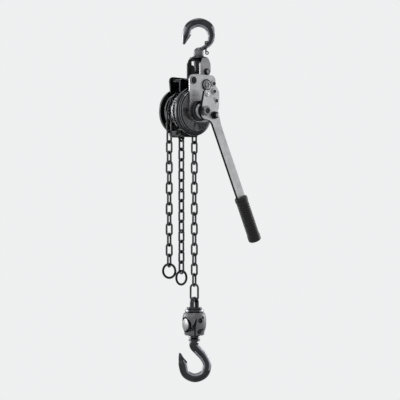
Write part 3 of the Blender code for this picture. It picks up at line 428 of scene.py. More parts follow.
def slab(name, outline, start, end):
    """A flat piece from an outline of (x, z) points, between two world Y places."""
    return plate(name, [Vector((x, start, z)) for x, z in outline], (end - start) * BACK)


def join(name, pieces):
    """Puts several meshes in one object."""
    clear()
    for piece in pieces:
        piece.select_set(True)
    bpy.context.view_layer.objects.active = pieces[0]
    if len(pieces) > 1:
        bpy.ops.object.join()
    pieces[0].name = name
    return pieces[0]


def smooth(keys, steps=6):
    """Points on a smooth curve through the keys, each a tuple of numbers."""
    row = []
    last = len(keys) - 1
    for index in range(last):
        around = [Vector(keys[min(max(index + shift, 0), last)]) for shift in (-1, 0, 1, 2)]
        for step in range(steps):
            t = step / steps
            weights = ((-t + 2 * t ** 2 - t ** 3) / 2, (2 - 5 * t ** 2 + 3 * t ** 3) / 2,
                       (t + 4 * t ** 2 - 3 * t ** 3) / 2, (-t ** 2 + t ** 3) / 2)
            row.append(sum((w * key for w, key in zip(weights, around)), Vector((0,) * len(keys[0]))))
    row.append(Vector(keys[-1]))
    return row


def rounded(corners, steps=8):
    """Points of a polygon whose corners (x, z, radius) are rounded."""
    points = []
    count = len(corners)
    for index, (x, z, radius) in enumerate(corners):
        here = Vector((x, z))
        before = (Vector(corners[index - 1][:2]) - here).normalized()
        after = (Vector(corners[(index + 1) % count][:2]) - here).normalized()
        half = before.angle(after) / 2
        centre = here + (before + after).normalized() * (radius / math.sin(half))
        start = here + before * (radius / math.tan(half)) - centre
        turn = start.angle_signed(here + after * (radius / math.tan(half)) - centre)
        for step in range(steps + 1):
            points.append(centre + Matrix.Rotation(-turn * step / steps, 2) @ start)
    return points


def on_circle(radius, degrees):
    """A point (x, z) on a circle."""
    angle = math.radians(degrees)
    return (radius * math.cos(angle), radius * math.sin(angle))


def on_wheel(outline):
    """Moves (x, z) points from the axle to the world."""
    return [(AXLE.x + x, AXLE.z + z) for x, z in outline]


def round_hole(piece, spot, radius):
    """Drills one hole through along Y."""
    reach = 2 * DRILL_REACH * BACK
    drill(piece, cylinder("hole", spot - reach, spot + reach, radius, 36))


def dress(piece, material, body, *nodes):
    """Gives a finished piece its material and its body, and hides the CAD nodes it stands for."""
    piece.data.materials.clear()
    piece.data.materials.append(bpy.data.materials[material])
    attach(piece, body)
    if nodes:
        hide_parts(*nodes)
    return piece


def trim(piece, material, inside):
    """Gives another finish to the faces whose middle and direction pass a test."""
    piece.data.materials.append(bpy.data.materials[material])
    slot = len(piece.data.materials) - 1
    for face in piece.data.polygons:
        if inside(face.center, face.normal):
            face.material_index = slot


def off_axis(point, spot):
    """The distance of a point from an axis along Y through a spot."""
    return math.hypot(point.x - spot.x, point.z - spot.z)


def bolt_head(name, centre, way, radius, height, sides=6, hollow=0.0):
    """A hexagon or round head with a washer under it and softened edges."""
    spin = way.to_track_quat("Z", "Y").to_euler()
    washer = cylinder("washer", centre, centre + WASHER_HEIGHT * height * way, WASHER_WIDTH * radius)
    soften(washer, height * 0.06)
    clear()
    bpy.ops.mesh.primitive_cylinder_add(vertices=sides, radius=radius, depth=HEAD_SHARE * height,
                                        location=centre + (1 - HEAD_SHARE / 2) * height * way,
                                        rotation=spin)
    head = bpy.context.object
    edit(False)
    bpy.ops.mesh.select_mode(type="FACE")
    bpy.ops.object.mode_set(mode="OBJECT")
    for face in head.data.polygons:
        face.select = face.normal.z > 0.9
    bpy.ops.object.mode_set(mode="EDIT")
    bpy.ops.mesh.inset(thickness=HEAD_RIM * radius, depth=height * 0.06)
    if hollow:
        bpy.ops.mesh.inset(thickness=(1 - HEAD_RIM - hollow) * radius, depth=0)
        bpy.ops.mesh.extrude_region_move(TRANSFORM_OT_translate={"value": way * -height * 0.4})
    apply_place(head)
    soften(head, height * 0.05)
    return join(name, [washer, head])


# Finishes

def group(name, inputs, outputs):
    """Starts a shader node group with named sockets."""
    tree = bpy.data.node_groups.new(name, "ShaderNodeTree")
    for label, kind, value in inputs:
        socket = tree.interface.new_socket(name=label, in_out="INPUT", socket_type=kind)
        socket.default_value = value
    for label, kind in outputs:
        tree.interface.new_socket(name=label, in_out="OUTPUT", socket_type=kind)
    return tree, tree.nodes.new("NodeGroupInput"), tree.nodes.new("NodeGroupOutput")


def math_node(tree, operation, first, second=0.0, clamp=False):
    """A Math node whose inputs are sockets or numbers."""
    node = tree.nodes.new("ShaderNodeMath")
    node.operation = operation
    node.use_clamp = clamp
    for socket, value in zip(node.inputs, (first, second)):
        if isinstance(value, (int, float)):
            socket.default_value = value
        else:
            tree.links.new(value, socket)
    return node.outputs[0]


def noise(tree, vector, scale, detail=4.0, rough=0.55):
    """A Noise texture's value."""
    node = tree.nodes.new("ShaderNodeTexNoise")
    node.inputs["Scale"].default_value = scale
    node.inputs["Detail"].default_value = detail
    node.inputs["Roughness"].default_value = rough
    tree.links.new(vector, node.inputs["Vector"])
    return node.outputs["Fac"]


def spread(tree, value, low, high, new_low, new_high):
    """A Map Range node."""
    node = tree.nodes.new("ShaderNodeMapRange")
    tree.links.new(value, node.inputs["Value"])
    for label, number in (("From Min", low), ("From Max", high), ("To Min", new_low), ("To Max", new_high)):
        node.inputs[label].default_value = number
    return node.outputs["Result"]


def blend_colour(tree, factor, first, second, mode="MIX"):
    """A colour Mix node."""
    node = tree.nodes.new("ShaderNodeMix")
    node.data_type = "RGBA"
    node.blend_type = mode
    if isinstance(factor, (int, float)):
        node.inputs[0].default_value = factor
    else:
        tree.links.new(factor, node.inputs[0])
    for socket, value in ((node.inputs[6], first), (node.inputs[7], second)):
        if isinstance(value, tuple):
            socket.default_value = value
        else:
            tree.links.new(value, socket)
    return node.outputs[2]


def make_wear_group():
    """Bare bright metal along the edges, broken up by a fine noise."""
    inputs = [("Width", "NodeSocketFloat", 0.5), ("Break up", "NodeSocketFloat", 400.0)]
    tree, source, sink = group("Edge wear", inputs, [("Mask", "NodeSocketFloat")])
    geometry = tree.nodes.new("ShaderNodeNewGeometry")
    place = tree.nodes.new("ShaderNodeTexCoord")
    edge = spread(tree, geometry.outputs["Pointiness"], 0.53, 0.62, 0.0, 1.0)
    node = tree.nodes.new("ShaderNodeTexNoise")
    node.inputs["Detail"].default_value = 5.0
    tree.links.new(place.outputs["Object"], node.inputs["Vector"])
    tree.links.new(source.outputs["Break up"], node.inputs["Scale"])
    rough = spread(tree, node.outputs["Fac"], 0.35, 0.65, 0.2, 1.2)
    worn = math_node(tree, "MULTIPLY", edge, rough)
    worn = math_node(tree, "MULTIPLY", worn, source.outputs["Width"], clamp=True)
    tree.links.new(worn, sink.inputs["Mask"])


def make_grain_group():
    """Brushed grain: fine lines along one direction and slow cloudy patches."""
    inputs = [("Stretch", "NodeSocketVector", (900.0, 900.0, 12.0)),
              ("Turn", "NodeSocketVector", (0.0, 0.0, 0.0))]
    outputs = [(label, "NodeSocketFloat") for label in ("Lines", "Patches", "Specks")]
    tree, source, sink = group("Brushed grain", inputs, outputs)
    place = tree.nodes.new("ShaderNodeTexCoord")
    mapping = tree.nodes.new("ShaderNodeMapping")
    tree.links.new(place.outputs["Object"], mapping.inputs["Vector"])
    tree.links.new(source.outputs["Turn"], mapping.inputs["Rotation"])
    stretched = tree.nodes.new("ShaderNodeVectorMath")
    stretched.operation = "MULTIPLY"
    tree.links.new(mapping.outputs["Vector"], stretched.inputs[0])
    tree.links.new(source.outputs["Stretch"], stretched.inputs[1])
    tree.links.new(noise(tree, stretched.outputs["Vector"], 1.0, 3.0), sink.inputs["Lines"])
    tree.links.new(noise(tree, place.outputs["Object"], 45.0, 3.0), sink.inputs["Patches"])
    tree.links.new(noise(tree, place.outputs["Object"], 900.0, 2.0), sink.inputs["Specks"])


def finish_metal(name, colour, worn_colour, rough, wear, metallic=1.0, grain_scale=(300, 300, 300),
                 turn=(0, 0, 0), bump=0.15, variation=0.25, specular=0.5):
    """A metal or painted finish with grain, patches, specks, worn edges and a slight bump."""
    material = bpy.data.materials.new(name)
    material.use_nodes = True
    tree = material.node_tree
    shader = tree.nodes["Principled BSDF"]
    grain = tree.nodes.new("ShaderNodeGroup")
    grain.node_tree = bpy.data.node_groups["Brushed grain"]
    grain.inputs["Stretch"].default_value = grain_scale
    grain.inputs["Turn"].default_value = turn
    edge = tree.nodes.new("ShaderNodeGroup")
    edge.node_tree = bpy.data.node_groups["Edge wear"]
    edge.inputs["Width"].default_value = wear
    light = tuple(min(1.0, channel * (1 + variation)) for channel in colour) + (1,)
    dark = tuple(channel * (1 - variation) for channel in colour) + (1,)
    streak = tuple(channel * 1.5 for channel in colour) + (1,)
    base = blend_colour(tree, spread(tree, grain.outputs["Patches"], 0.3, 0.7, 0.0, 1.0), dark, light)
    lined = blend_colour(tree, spread(tree, grain.outputs["Lines"], 0.3, 0.7, 0.0, 0.35), base, streak)
    specked = blend_colour(tree, spread(tree, grain.outputs["Specks"], 0.62, 0.75, 0.0, 0.35), lined, dark)
    coloured = blend_colour(tree, edge.outputs["Mask"], specked, (*worn_colour, 1))
    tree.links.new(coloured, shader.inputs["Base Color"])
    shader.inputs["Metallic"].default_value = metallic
    shader.inputs["Specular IOR Level"].default_value = specular
    gloss = spread(tree, grain.outputs["Lines"], 0.25, 0.75, rough - 0.06, rough + 0.08)
    gloss = math_node(tree, "ADD", gloss, spread(tree, grain.outputs["Patches"], 0.3, 0.7, -0.05, 0.06))
    tree.links.new(gloss, shader.inputs["Roughness"])
    grit = math_node(tree, "MULTIPLY", grain.outputs["Specks"], 0.6)
    hill = math_node(tree, "ADD", grain.outputs["Lines"], grit)
    node = tree.nodes.new("ShaderNodeBump")
    node.inputs["Strength"].default_value = bump
    node.inputs["Distance"].default_value = 0.0002
    tree.links.new(hill, node.inputs["Height"])
    tree.links.new(node.outputs["Normal"], shader.inputs["Normal"])


def scaled(colour, factor):
    """A colour made lighter or darker."""
    return tuple(min(1.0, channel * factor) for channel in colour)


class HOIST_OT_finishes(bpy.types.Operator):
    """Makes every metal, paint and rubber finish from the hoist's colours"""
    bl_idname = "hoist.finishes"
    bl_label = "Finishes"

    def execute(self, context):
        colours = context.scene.hoist_colours
        wear = context.scene.hoist_sizes.edge_wear
        make_wear_group()
        make_grain_group()
        hook, chain = tuple(colours.hook), tuple(colours.chain)
        plates, lever, block = tuple(colours.plates), tuple(colours.lever), tuple(colours.block)
        finish_metal("Forged hook steel", hook, scaled(hook, 3.2), 0.20, 0.8 * wear, bump=0.2)
        # A lighter copy of the hook steel, painted on the hooks' rims and the rings' ends as painted
        # highlights.
        finish_metal("Hook rim painted highlight", scaled(hook, 6.5), scaled(hook, 11.0), 0.28, 0.6 * wear)
        finish_metal("Chain steel", chain, scaled(chain, 3.0), 0.24, 0.7 * wear)
        finish_metal("Brushed plate steel", plates, scaled(plates, 1.5), 0.36, 0.7 * wear,
                     grain_scale=(16, 300, 900), bump=0.12, variation=0.12)
        finish_metal("Brushed yoke steel", scaled(plates, 0.6), plates, 0.36, 0.7 * wear,
                     grain_scale=(900, 300, 16), bump=0.12, variation=0.12)
        finish_metal("Brushed lever steel", lever, scaled(lever, 1.5), 0.34, 0.8 * wear,
                     grain_scale=(900, 300, 14), turn=(0, LEVER_ANGLE, 0), bump=0.12, variation=0.10)
        finish_metal("Bright machined steel", tuple(colours.bright), (0.70, 0.70, 0.71), 0.20, 0.4 * wear,
                     bump=0.06, variation=0.08)
        finish_metal("Blackened steel", tuple(colours.blackened), (0.30, 0.30, 0.31), 0.24, 0.6 * wear)
        finish_metal("Black cover paint", tuple(colours.covers), (0.42, 0.42, 0.43), 0.20, 0.8 * wear,
                     metallic=0.85, bump=0.1)
        finish_metal("Cast block grey", block, scaled(block, 2.0), 0.44, 0.7 * wear, metallic=0.9,
                     grain_scale=(500, 500, 500), bump=0.4, variation=0.2)
        finish_metal("Bearing bronze", tuple(colours.bronze), (0.7, 0.55, 0.3), 0.35, 0.4 * wear, bump=0.1)
        finish_metal("Grip rubber", tuple(colours.grip), (0.03, 0.03, 0.032), 0.48, 0.5 * wear, metallic=0.0,
                     grain_scale=(700, 700, 700), bump=0.4, variation=0.3, specular=0.3)
        return {"FINISHED"}


# Top hook, latch, swivel and yoke

# Stations along a hook: side and up in hook radii from the bowl's middle, thickness in halves
TOP_HOOK_KEYS = [
    (0.00, -1.24, 0.50), (0.16, -1.13, 0.49), (0.36, -1.03, 0.49), (0.60, -0.88, 0.53), (0.83, -0.66, 0.62),
    (0.98, -0.32, 0.82), (1.02, 0.08, 0.94), (0.74, 0.70, 1.0), (0.0, 1.0, 1.0), (-0.72, 0.70, 0.96),
    (-0.98, 0.02, 0.96), (-1.08, -0.28, 0.72), (-1.155, -0.58, 0.42), (-1.185, -0.72, 0.20),
    (-1.195, -0.755, 0.05)]
BOTTOM_HOOK_KEYS = [
    (-0.05, 1.78, 1.02), (-0.055, 1.50, 1.06), (0.30, 1.08, 1.02), (0.73, 0.58, 0.98), (0.97, 0.0, 0.96),
    (0.73, -0.72, 1.0), (0.0, -1.04, 1.0), (-0.72, -0.72, 0.97), (-0.955, 0.0, 1.0), (-1.07, 0.37, 0.70),
    (-1.16, 0.74, 0.42), (-1.21, 0.91, 0.20), (-1.222, 0.95, 0.05)]

# Corners of the spear points, in hook radii from the bowl's middle
TOP_POINT = [(-1.19, -0.72), (-0.60, 0.0), (-0.68, 0.13), (-0.88, 0.24), (-1.12, -0.30)]
BOTTOM_POINT = [(-1.21, 0.92), (-0.61, 0.24), (-0.68, 0.06), (-0.90, -0.06), (-1.12, 0.35)]


def along_hook(bowl, side, up, face=0.0):
    """A point sideways in the hook's plane, up and towards the camera from another, in metres."""
    return bowl + side * HOOK_SIDE + up * UP + face * HOOK_FACE


def forged_hook(name, keys, bowl):
    """A round forged hook in the plane that faces the camera, a little flattened from the side."""
    row = smooth(keys, 8)
    points = [Vector((HOOK_RADIUS * side, 0, HOOK_RADIUS * up)) for side, up, thick in row]
    hook = rod(name, points, [HOOK_HALF * thick for side, up, thick in row], sides=11)
    stretch(HOOK_FLATNESS)
    hook.matrix_world = Matrix.Translation(bowl) @ Matrix.Rotation(HOOK_TURN, 4, "Z")
    return settle(hook, 60)


def add_point(hook, bowl, corners):
    """Welds the flat spear point to the end of a hook."""
    outline = [along_hook(bowl, HOOK_RADIUS * side, HOOK_RADIUS * up, -POINT_HALF) for side, up in corners]
    weld(hook, plate("hook_point", outline, 2 * POINT_HALF * HOOK_FACE, 0.0008))
    settle(hook, 50)


def paint_end_highlights(ring):
    """Paints bright bands near both sides of a dark ring, as painted highlights."""
    trim(ring, "Hook rim painted highlight", lambda place, way: 0.58 < abs(way.dot(HOOK_SIDE)) < 0.93)


def paint_rim_highlights(hook, bowl, low, high, left):
    """Paints a bright band by the inner rim of a hook, and by the outer rim between two heights, as painted
    highlights.
    """
    def highlighted(place, way):
        out = place - bowl
        inner = out.length < HOOK_RADIUS
        outer = low * HOOK_RADIUS < out.z < high * HOOK_RADIUS and (left or out.dot(HOOK_SIDE) > 0)
        return (inner or outer) and 0.48 < abs(way.dot(HOOK_FACE)) < 0.86
    trim(hook, "Hook rim painted highlight", highlighted)


class HOIST_OT_top_hook(bpy.types.Operator):
    """Forged top hook with its domed head, stem, castle nut and wire latch"""
    bl_idname = "hoist.top_hook"
    bl_label = "Top hook"

    def execute(self, context):
        bowl = Vector((0, 0, HOOK_HALF - HOOK_RADIUS))
        pivot = along_hook(bowl, 0.60 * HOOK_RADIUS, -0.62 * HOOK_RADIUS)
        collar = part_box("swivel_collar")[1][2]
        hook = forged_hook("top_hook_forging", TOP_HOOK_KEYS, bowl)
        self.add_lug(hook, pivot)
        add_point(hook, bowl, TOP_POINT)
        join("top_hook_body", [hook, self.turn_head(collar), self.turn_stem(collar)])
        dress(hook, "Forged hook steel", "hook", "top_hook")
        # Painted highlights: bright bands by the hook's inner rim and along its outer rim.
        paint_rim_highlights(hook, bowl, -1.0, 0.66, True)
        trim(hook, "Cast block grey", lambda place, way: collar < place.z < collar + 0.0195
             and math.hypot(place.x, place.y) < 0.0128)
        self.add_nut()
        self.add_latch(pivot)
        return {"FINISHED"}

    def add_lug(self, hook, pivot):
        """The thick spot on the hook's neck that the latch pin goes through."""
        stations = ((0.40, 0.0060), (0.20, 0.0058), (0.0, 0.0046), (-0.10, 0.0040), (-0.13, 0.0026))
        points = [along_hook(pivot, side * HOOK_RADIUS, 0) for side, radius in stations]
        weld(hook, rod("latch_lug", points, [radius for side, radius in stations], sides=5))
        reach = 0.02 * HOOK_FACE
        drill(hook, cylinder("hole", pivot - reach, pivot + reach, LATCH_PIN_HOLE, 20))

    def turn_head(self, collar):
        """The domed head that stands on the collar, with a groove near its foot."""
        radius, top = HEAD_RADIUS, collar + HEAD_HEIGHT
        profile = [(0.0, top)]
        for step in range(1, 9):
            angle = math.pi / 2 * step / 8
            profile.append((radius * math.sin(angle), top - radius * (1 - math.cos(angle))))
        profile += [(radius, collar + 0.0038), (0.0118, collar + 0.0032), (0.0118, collar + 0.0022),
                    (radius, collar + 0.0016), (radius, collar + 0.0006), (0.0120, collar + 0.0003),
                    (0.0, collar + 0.0003)]
        return lathe("top_hook_head", profile, ORIGIN, "Z", 56)

    def turn_stem(self, collar):
        """The stem through the collar and the yoke's bridge."""
        foot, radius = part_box("top_hook")[0][2], STEM_RADIUS
        profile = [(0.0, collar + 0.001), (radius, collar + 0.001), (radius, foot + 0.001),
                   (radius - 0.0007, foot), (0.0, foot)]
        return lathe("top_hook_stem", profile, ORIGIN, "Z", 40)

    def add_nut(self):
        """The slotted nut on the hook's stem, between the yoke's cheeks."""
        low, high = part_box("hook_nut")
        bore, bottom, top = 0.0083, low[2], high[2]
        profile = [(bore, bottom), (0.0100, bottom), (0.0106, bottom + 0.001), (0.0124, top - 0.0025),
                   (0.0114, top - 0.0008), (0.0112, top), (bore, top)]
        nut = lathe("hook_nut_body", profile, ORIGIN, "Z", 48)
        for slot in range(HOOK_NUT_SLOTS):
            turn = 2 * math.pi * slot / HOOK_NUT_SLOTS
            place = Vector((0.0122 * math.cos(turn), 0.0122 * math.sin(turn), bottom + 0.004))
            drill(nut, slot_cutter(place, (0.006, 0.0026, 0.010), (0, 0, turn)))
        soften(nut, 0.0003)
        dress(nut, "Blackened steel", "hook", "hook_nut")

    def add_latch(self, pivot):
        """The wire latch that hangs from its pin with its end curled, and the pin."""
        level = pivot + LATCH_DEPTH * HOOK_FACE
        facing = HOOK_FACE.to_track_quat("Z", "Y").to_euler()
        row = smooth([(0.0008, -0.0034), (0.0002, -0.011), (-0.0008, -0.0175), (-0.0010, -0.0232)], 5)
        points = [along_hook(level, side, up) for side, up in row]
        wire = rod("latch_wire", points, [LATCH_WIRE] * len(row), sides=4)
        eye = hoop("latch_eye", level, facing, LATCH_EYE, LATCH_EYE_WIRE, 28, 12, 60)
        curl = along_hook(level, 0.0018, -0.0255)
        end = hoop("latch_end", curl, facing, LATCH_EYE, LATCH_CURL_WIRE, 28, 12, 60)
        dress(join("top_latch_wire", [wire, eye, end]), "Blackened steel", "latch", "top_latch")
        reach = LATCH_PIN_HALF * HOOK_FACE
        pin = cylinder("latch_pin_bar", pivot - reach, pivot + reach, LATCH_PIN_RADIUS, 24)
        soften(pin, 0.0005)
        dress(pin, "Bright machined steel", "hook", "latch_pin")


class HOIST_OT_yoke(bpy.types.Operator):
    """Swivel collar, two-cheeked yoke under it and its rivet"""
    bl_idname = "hoist.yoke"
    bl_label = "Swivel yoke"

    def execute(self, context):
        self.add_collar()
        self.add_cheeks()
        self.add_rivet()
        return {"FINISHED"}

    def add_collar(self):
        """The flanged collar between the hook's head and the yoke."""
        low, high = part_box("swivel_collar")
        radius, bottom, top = high[0], low[2], high[2]
        profile = [(STEM_HOLE, bottom), (radius - 0.0006, bottom), (radius, bottom + 0.0006),
                   (radius, bottom + 0.0020), (radius - 0.0008, bottom + 0.0027), (0.0152, bottom + 0.0030),
                   (0.0148, top - 0.0006), (0.0140, top), (STEM_HOLE, top)]
        collar = lathe("swivel_collar_ring", profile, ORIGIN, "Z", 80)
        dress(collar, "Forged hook steel", "frame", "swivel_collar")

    def add_cheeks(self):
        """One bent strap: a bridge with a cheek at each end, cut from a solid and rounded."""
        low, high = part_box("top_yoke")
        bolt, rivet = middle("yoke_bolt"), middle("yoke_pin")
        side, end, top = high[0], low[2], high[2]
        tab = bolt.z + 0.004
        outline = [(-0.010, top, 0.003), (0.010, top, 0.003), (side, top - 0.014, 0.010),
                   (side, top - 0.034, 0.012), (bolt.x + 0.0100, tab, 0.010), (bolt.x + 0.0055, end, 0.003),
                   (bolt.x - 0.0025, end, 0.003), (-side, tab, 0.010), (-side, top - 0.014, 0.010)]
        yoke = slab("yoke_strap", rounded(outline), low[1], high[1])
        inside, bridge = high[1] - YOKE_CHEEK, top - YOKE_BRIDGE
        gap = [(-0.05, bridge), (0.05, bridge), (0.05, end - 0.02), (-0.05, end - 0.02)]
        drill(yoke, slab("gap", gap, -inside, inside))
        over = 0.01 * UP
        drill(yoke, cylinder("stem_hole", top * UP + over, top * UP - over, STEM_HOLE, 40))
        reach = DRILL_REACH * BACK
        drill(yoke, cylinder("bolt_hole", bolt - reach, bolt + reach, YOKE_CHEEK_HOLE, 32))
        drill(yoke, cylinder("rivet_hole", rivet - reach, rivet + 0.012 * BACK, RIVET_HOLE, 32))
        window = [(-0.0050, top - 0.0060, 0.0015), (0.0115, top - 0.0060, 0.0015),
                  (0.0115, top - 0.0380, 0.0020), (0.0065, top - 0.0380, 0.0020),
                  (0.0065, top - 0.0220, 0.0020), (0.0010, top - 0.0165, 0.0020),
                  (-0.0050, top - 0.0155, 0.0015)]
        drill(yoke, slab("window", rounded(window), inside - 0.001, inside + 0.019))
        settle(yoke, 35)
        soften(yoke, 0.0009, 40)
        dress(yoke, "Brushed yoke steel", "frame", "top_yoke")
        # Painted shade: the back half of the strap, whose cheek shows in shade through the gap, gets the near
        # black steel.
        trim(yoke, "Blackened steel", lambda place, way: place.y > 0.0)

    def add_rivet(self):
        """The rivet whose stepped head shows on the front cheek."""
        low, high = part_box("yoke_pin")
        spot = axis_of("yoke_pin")
        front, back, radius = low[1], high[1], RIVET_RADIUS
        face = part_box("top_yoke")[0][1] - 0.0003
        edge = half_width("yoke_pin")
        profile = [(0.0, front + 0.0006), (0.0030, front + 0.0006), (0.0034, front + 0.0012),
                   (0.0046, front + 0.0012), (0.0050, front), (0.0058, front), (0.0064, front + 0.0012),
                   (0.0066, face - 0.0017), (edge - 0.0006, face - 0.0015), (edge, face - 0.0009),
                   (edge, face), (radius, face), (radius, back - 0.0006), (radius - 0.0006, back),
                   (0.0, back)]
        rivet = lathe("yoke_rivet", profile, spot, "Y", 48)
        dress(rivet, "Blackened steel", "frame", "yoke_pin")
        trim(rivet, "Bright machined steel",
             lambda place, way: place.y < front + 0.0014 and off_axis(place, spot) < 0.0052)


# The three plates and the two covers

class HOIST_OT_plates(bpy.types.Operator):
    """Front, rear and inner side plates with softened edges"""
    bl_idname = "hoist.plates"
    bl_label = "Side plates"

    def execute(self, context):
        low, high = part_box("front_plate")
        ear, left = high[2] - AXLE.z, low[0] - AXLE.x
        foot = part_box("rear_plate")[0][2] - AXLE.z
        front = [(-0.0275, -0.0275, 0.027), (0.030, -0.0275, 0.025), (0.071, 0.006, 0.014),
                 (0.073, 0.050, 0.014), (0.061, 0.064, 0.010), (0.058, ear, 0.014), (left, ear, 0.0141),
                 (-0.0275, 0.056, 0.006)]
        rear = [(-0.024, foot, 0.008), (0.024, foot, 0.008), (0.050, -0.012, 0.02), (0.071, 0.008, 0.012),
                (0.071, 0.056, 0.012), (0.060, 0.0845, 0.012), (-0.0265, 0.0872, 0.011),
                (-0.0225, 0.055, 0.005), (-0.0225, -0.030, 0.01)]
        inner = [(-0.024, foot, 0.008), (0.024, foot, 0.008), (0.050, -0.012, 0.02), (0.069, 0.010, 0.010),
                 (0.069, 0.070, 0.014), (0.040, 0.0795, 0.01), (-0.033, 0.0795, 0.007), (-0.033, 0.050, 0.01),
                 (-0.024, 0.02, 0.01)]
        edge = context.scene.hoist_sizes.plate_edge
        hidden_edge = 0.67 * edge
        outer, between = OUTER_BUSH_HOLE, INNER_BUSH_HOLE
        self.add_plate("front_plate", "front_side_plate", front, outer, "Brushed plate steel", edge)
        # The rear and inner plates get the near black steel as painted shade for the shaded space between the
        # plates.
        self.add_plate("rear_plate", "rear_side_plate", rear, outer, "Blackened steel", hidden_edge)
        self.add_plate("inner_plate", "inner_side_plate", inner, between, "Blackened steel", hidden_edge)
        return {"FINISHED"}

    def add_plate(self, node, name, corners, bush_hole, finish, edge):
        """One plate with its shaft hole and the holes of the bolts."""
        low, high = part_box(node)
        piece = slab(name, on_wheel(rounded(corners, 10)), high[1], low[1])
        round_hole(piece, AXLE, bush_hole)
        for bolt in STAYS:
            round_hole(piece, middle(bolt), STAY_HOLE)
        round_hole(piece, middle("yoke_bolt"), YOKE_BOLT_HOLE)
        if node != "front_plate":
            for bolt in GUIDE_BOLTS:
                round_hole(piece, middle(bolt), GUIDE_HOLE)
        settle(piece, 35)
        soften(piece, edge, 40)
        dress(piece, finish, "frame", node)


class HOIST_OT_covers(bpy.types.Operator):
    """Pressed rear cover and the stepped, ringed front cover with its small holes"""
    bl_idname = "hoist.covers"
    bl_label = "Round covers"

    def execute(self, context):
        self.add_rear()
        self.add_front()
        return {"FINISHED"}

    def add_rear(self):
        """The rear cover has two bands of painted highlight round its barrel and six dimples in its face."""
        low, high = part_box("rear_cover")
        r, f, b = half_width("rear_cover"), low[1], high[1]
        third = (b - f) / 3
        profile = [(SHAFT_HOLE, f), (r - 0.0010, f), (r, f + 0.0010), (r, f + third - 0.0005),
                   (r - 0.0008, f + third), (r - 0.0008, b - third), (r, b - third + 0.0005),
                   (r, b - 0.0016), (r - 0.0005, b - 0.0006), (r - 0.0015, b), (r - 0.0065, b),
                   (r - 0.0073, b - 0.0003), (r - 0.0080, b - 0.0010), (0.018, b - 0.0012),
                   (0.0165, b - 0.0009), (0.0150, b), (0.0030, b), (0.0024, b - 0.0008),
                   (0.0, b - 0.0008), (0.0, f + 0.003), (SHAFT_HOLE, f + 0.003)]
        cover = lathe("rear_round_cover", profile, AXIS, "Y", 112)
        for step in range(DIMPLES):
            x, z = on_circle(DIMPLE_CIRCLE, 30 + 360 / DIMPLES * step)
            spot = AXIS + Vector((x, b, z))
            drill(cover, cylinder("dimple", spot - 0.0022 * BACK, spot + 0.003 * BACK, DIMPLE_RADIUS, 20))
        settle(cover, 30)
        dress(cover, "Black cover paint", "frame", "rear_cover")
        # Painted highlights: the barrel's front third and back edge get the bright steel, standing for the
        # highlights along its rings.
        trim(cover, "Bright machined steel", lambda place, way: off_axis(place, AXLE) > r - 0.0006
             and (place.y < f + third - 0.0004 or place.y > b - 0.0018) and abs(way.y) < 0.9)

    def add_front(self):
        """The front cover steps out from the plate in rings, with three small holes."""
        low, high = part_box("front_cover")
        r, f, b = half_width("front_cover"), low[1], high[1]
        wall = r - COVER_WALL
        profile = [(SHAFT_HOLE, f), (r - 0.0125, f), (r - 0.0121, f + 0.0004), (r - 0.0119, f + 0.0015),
                   (r - 0.0090, f + 0.0018), (r - 0.0082, f + 0.0024), (r - 0.0078, f + 0.0038),
                   (r - 0.0058, f + 0.0043), (r - 0.0049, f + 0.0050), (r - 0.0045, f + 0.0072),
                   (r - 0.0018, f + 0.0078), (r - 0.0006, f + 0.0084), (r, f + 0.0094), (r, b - 0.0014),
                   (r - 0.0004, b - 0.0004), (r - 0.0012, b), (wall, b), (wall, f + 0.0120),
                   (r - 0.0140, f + 0.0062), (SHAFT_HOLE, f + 0.0062)]
        cover = lathe("front_round_cover", profile, AXIS, "Y", 112)
        for x, z, radius in SMALL_HOLES:
            spot = AXIS + Vector((x, f, z))
            drill(cover, cylinder("small_hole", spot - 0.002 * BACK, spot + 0.0052 * BACK, radius, 24))
        settle(cover, 30)
        dress(cover, "Black cover paint", "frame", "front_cover")
        # Painted highlights: the outward facing step walls get the bright steel, standing for the highlights
        # along the cover's rings.
        bands = ((-1.0, 0.0016), (0.0024, 0.0039), (0.0050, 0.0073))
        trim(cover, "Bright machined steel", lambda place, way: abs(way.y) < 0.75
             and off_axis(place, AXLE) > r - 0.0125 and any(a < place.y - f < b for a, b in bands))


# Bolts, pawl and guide

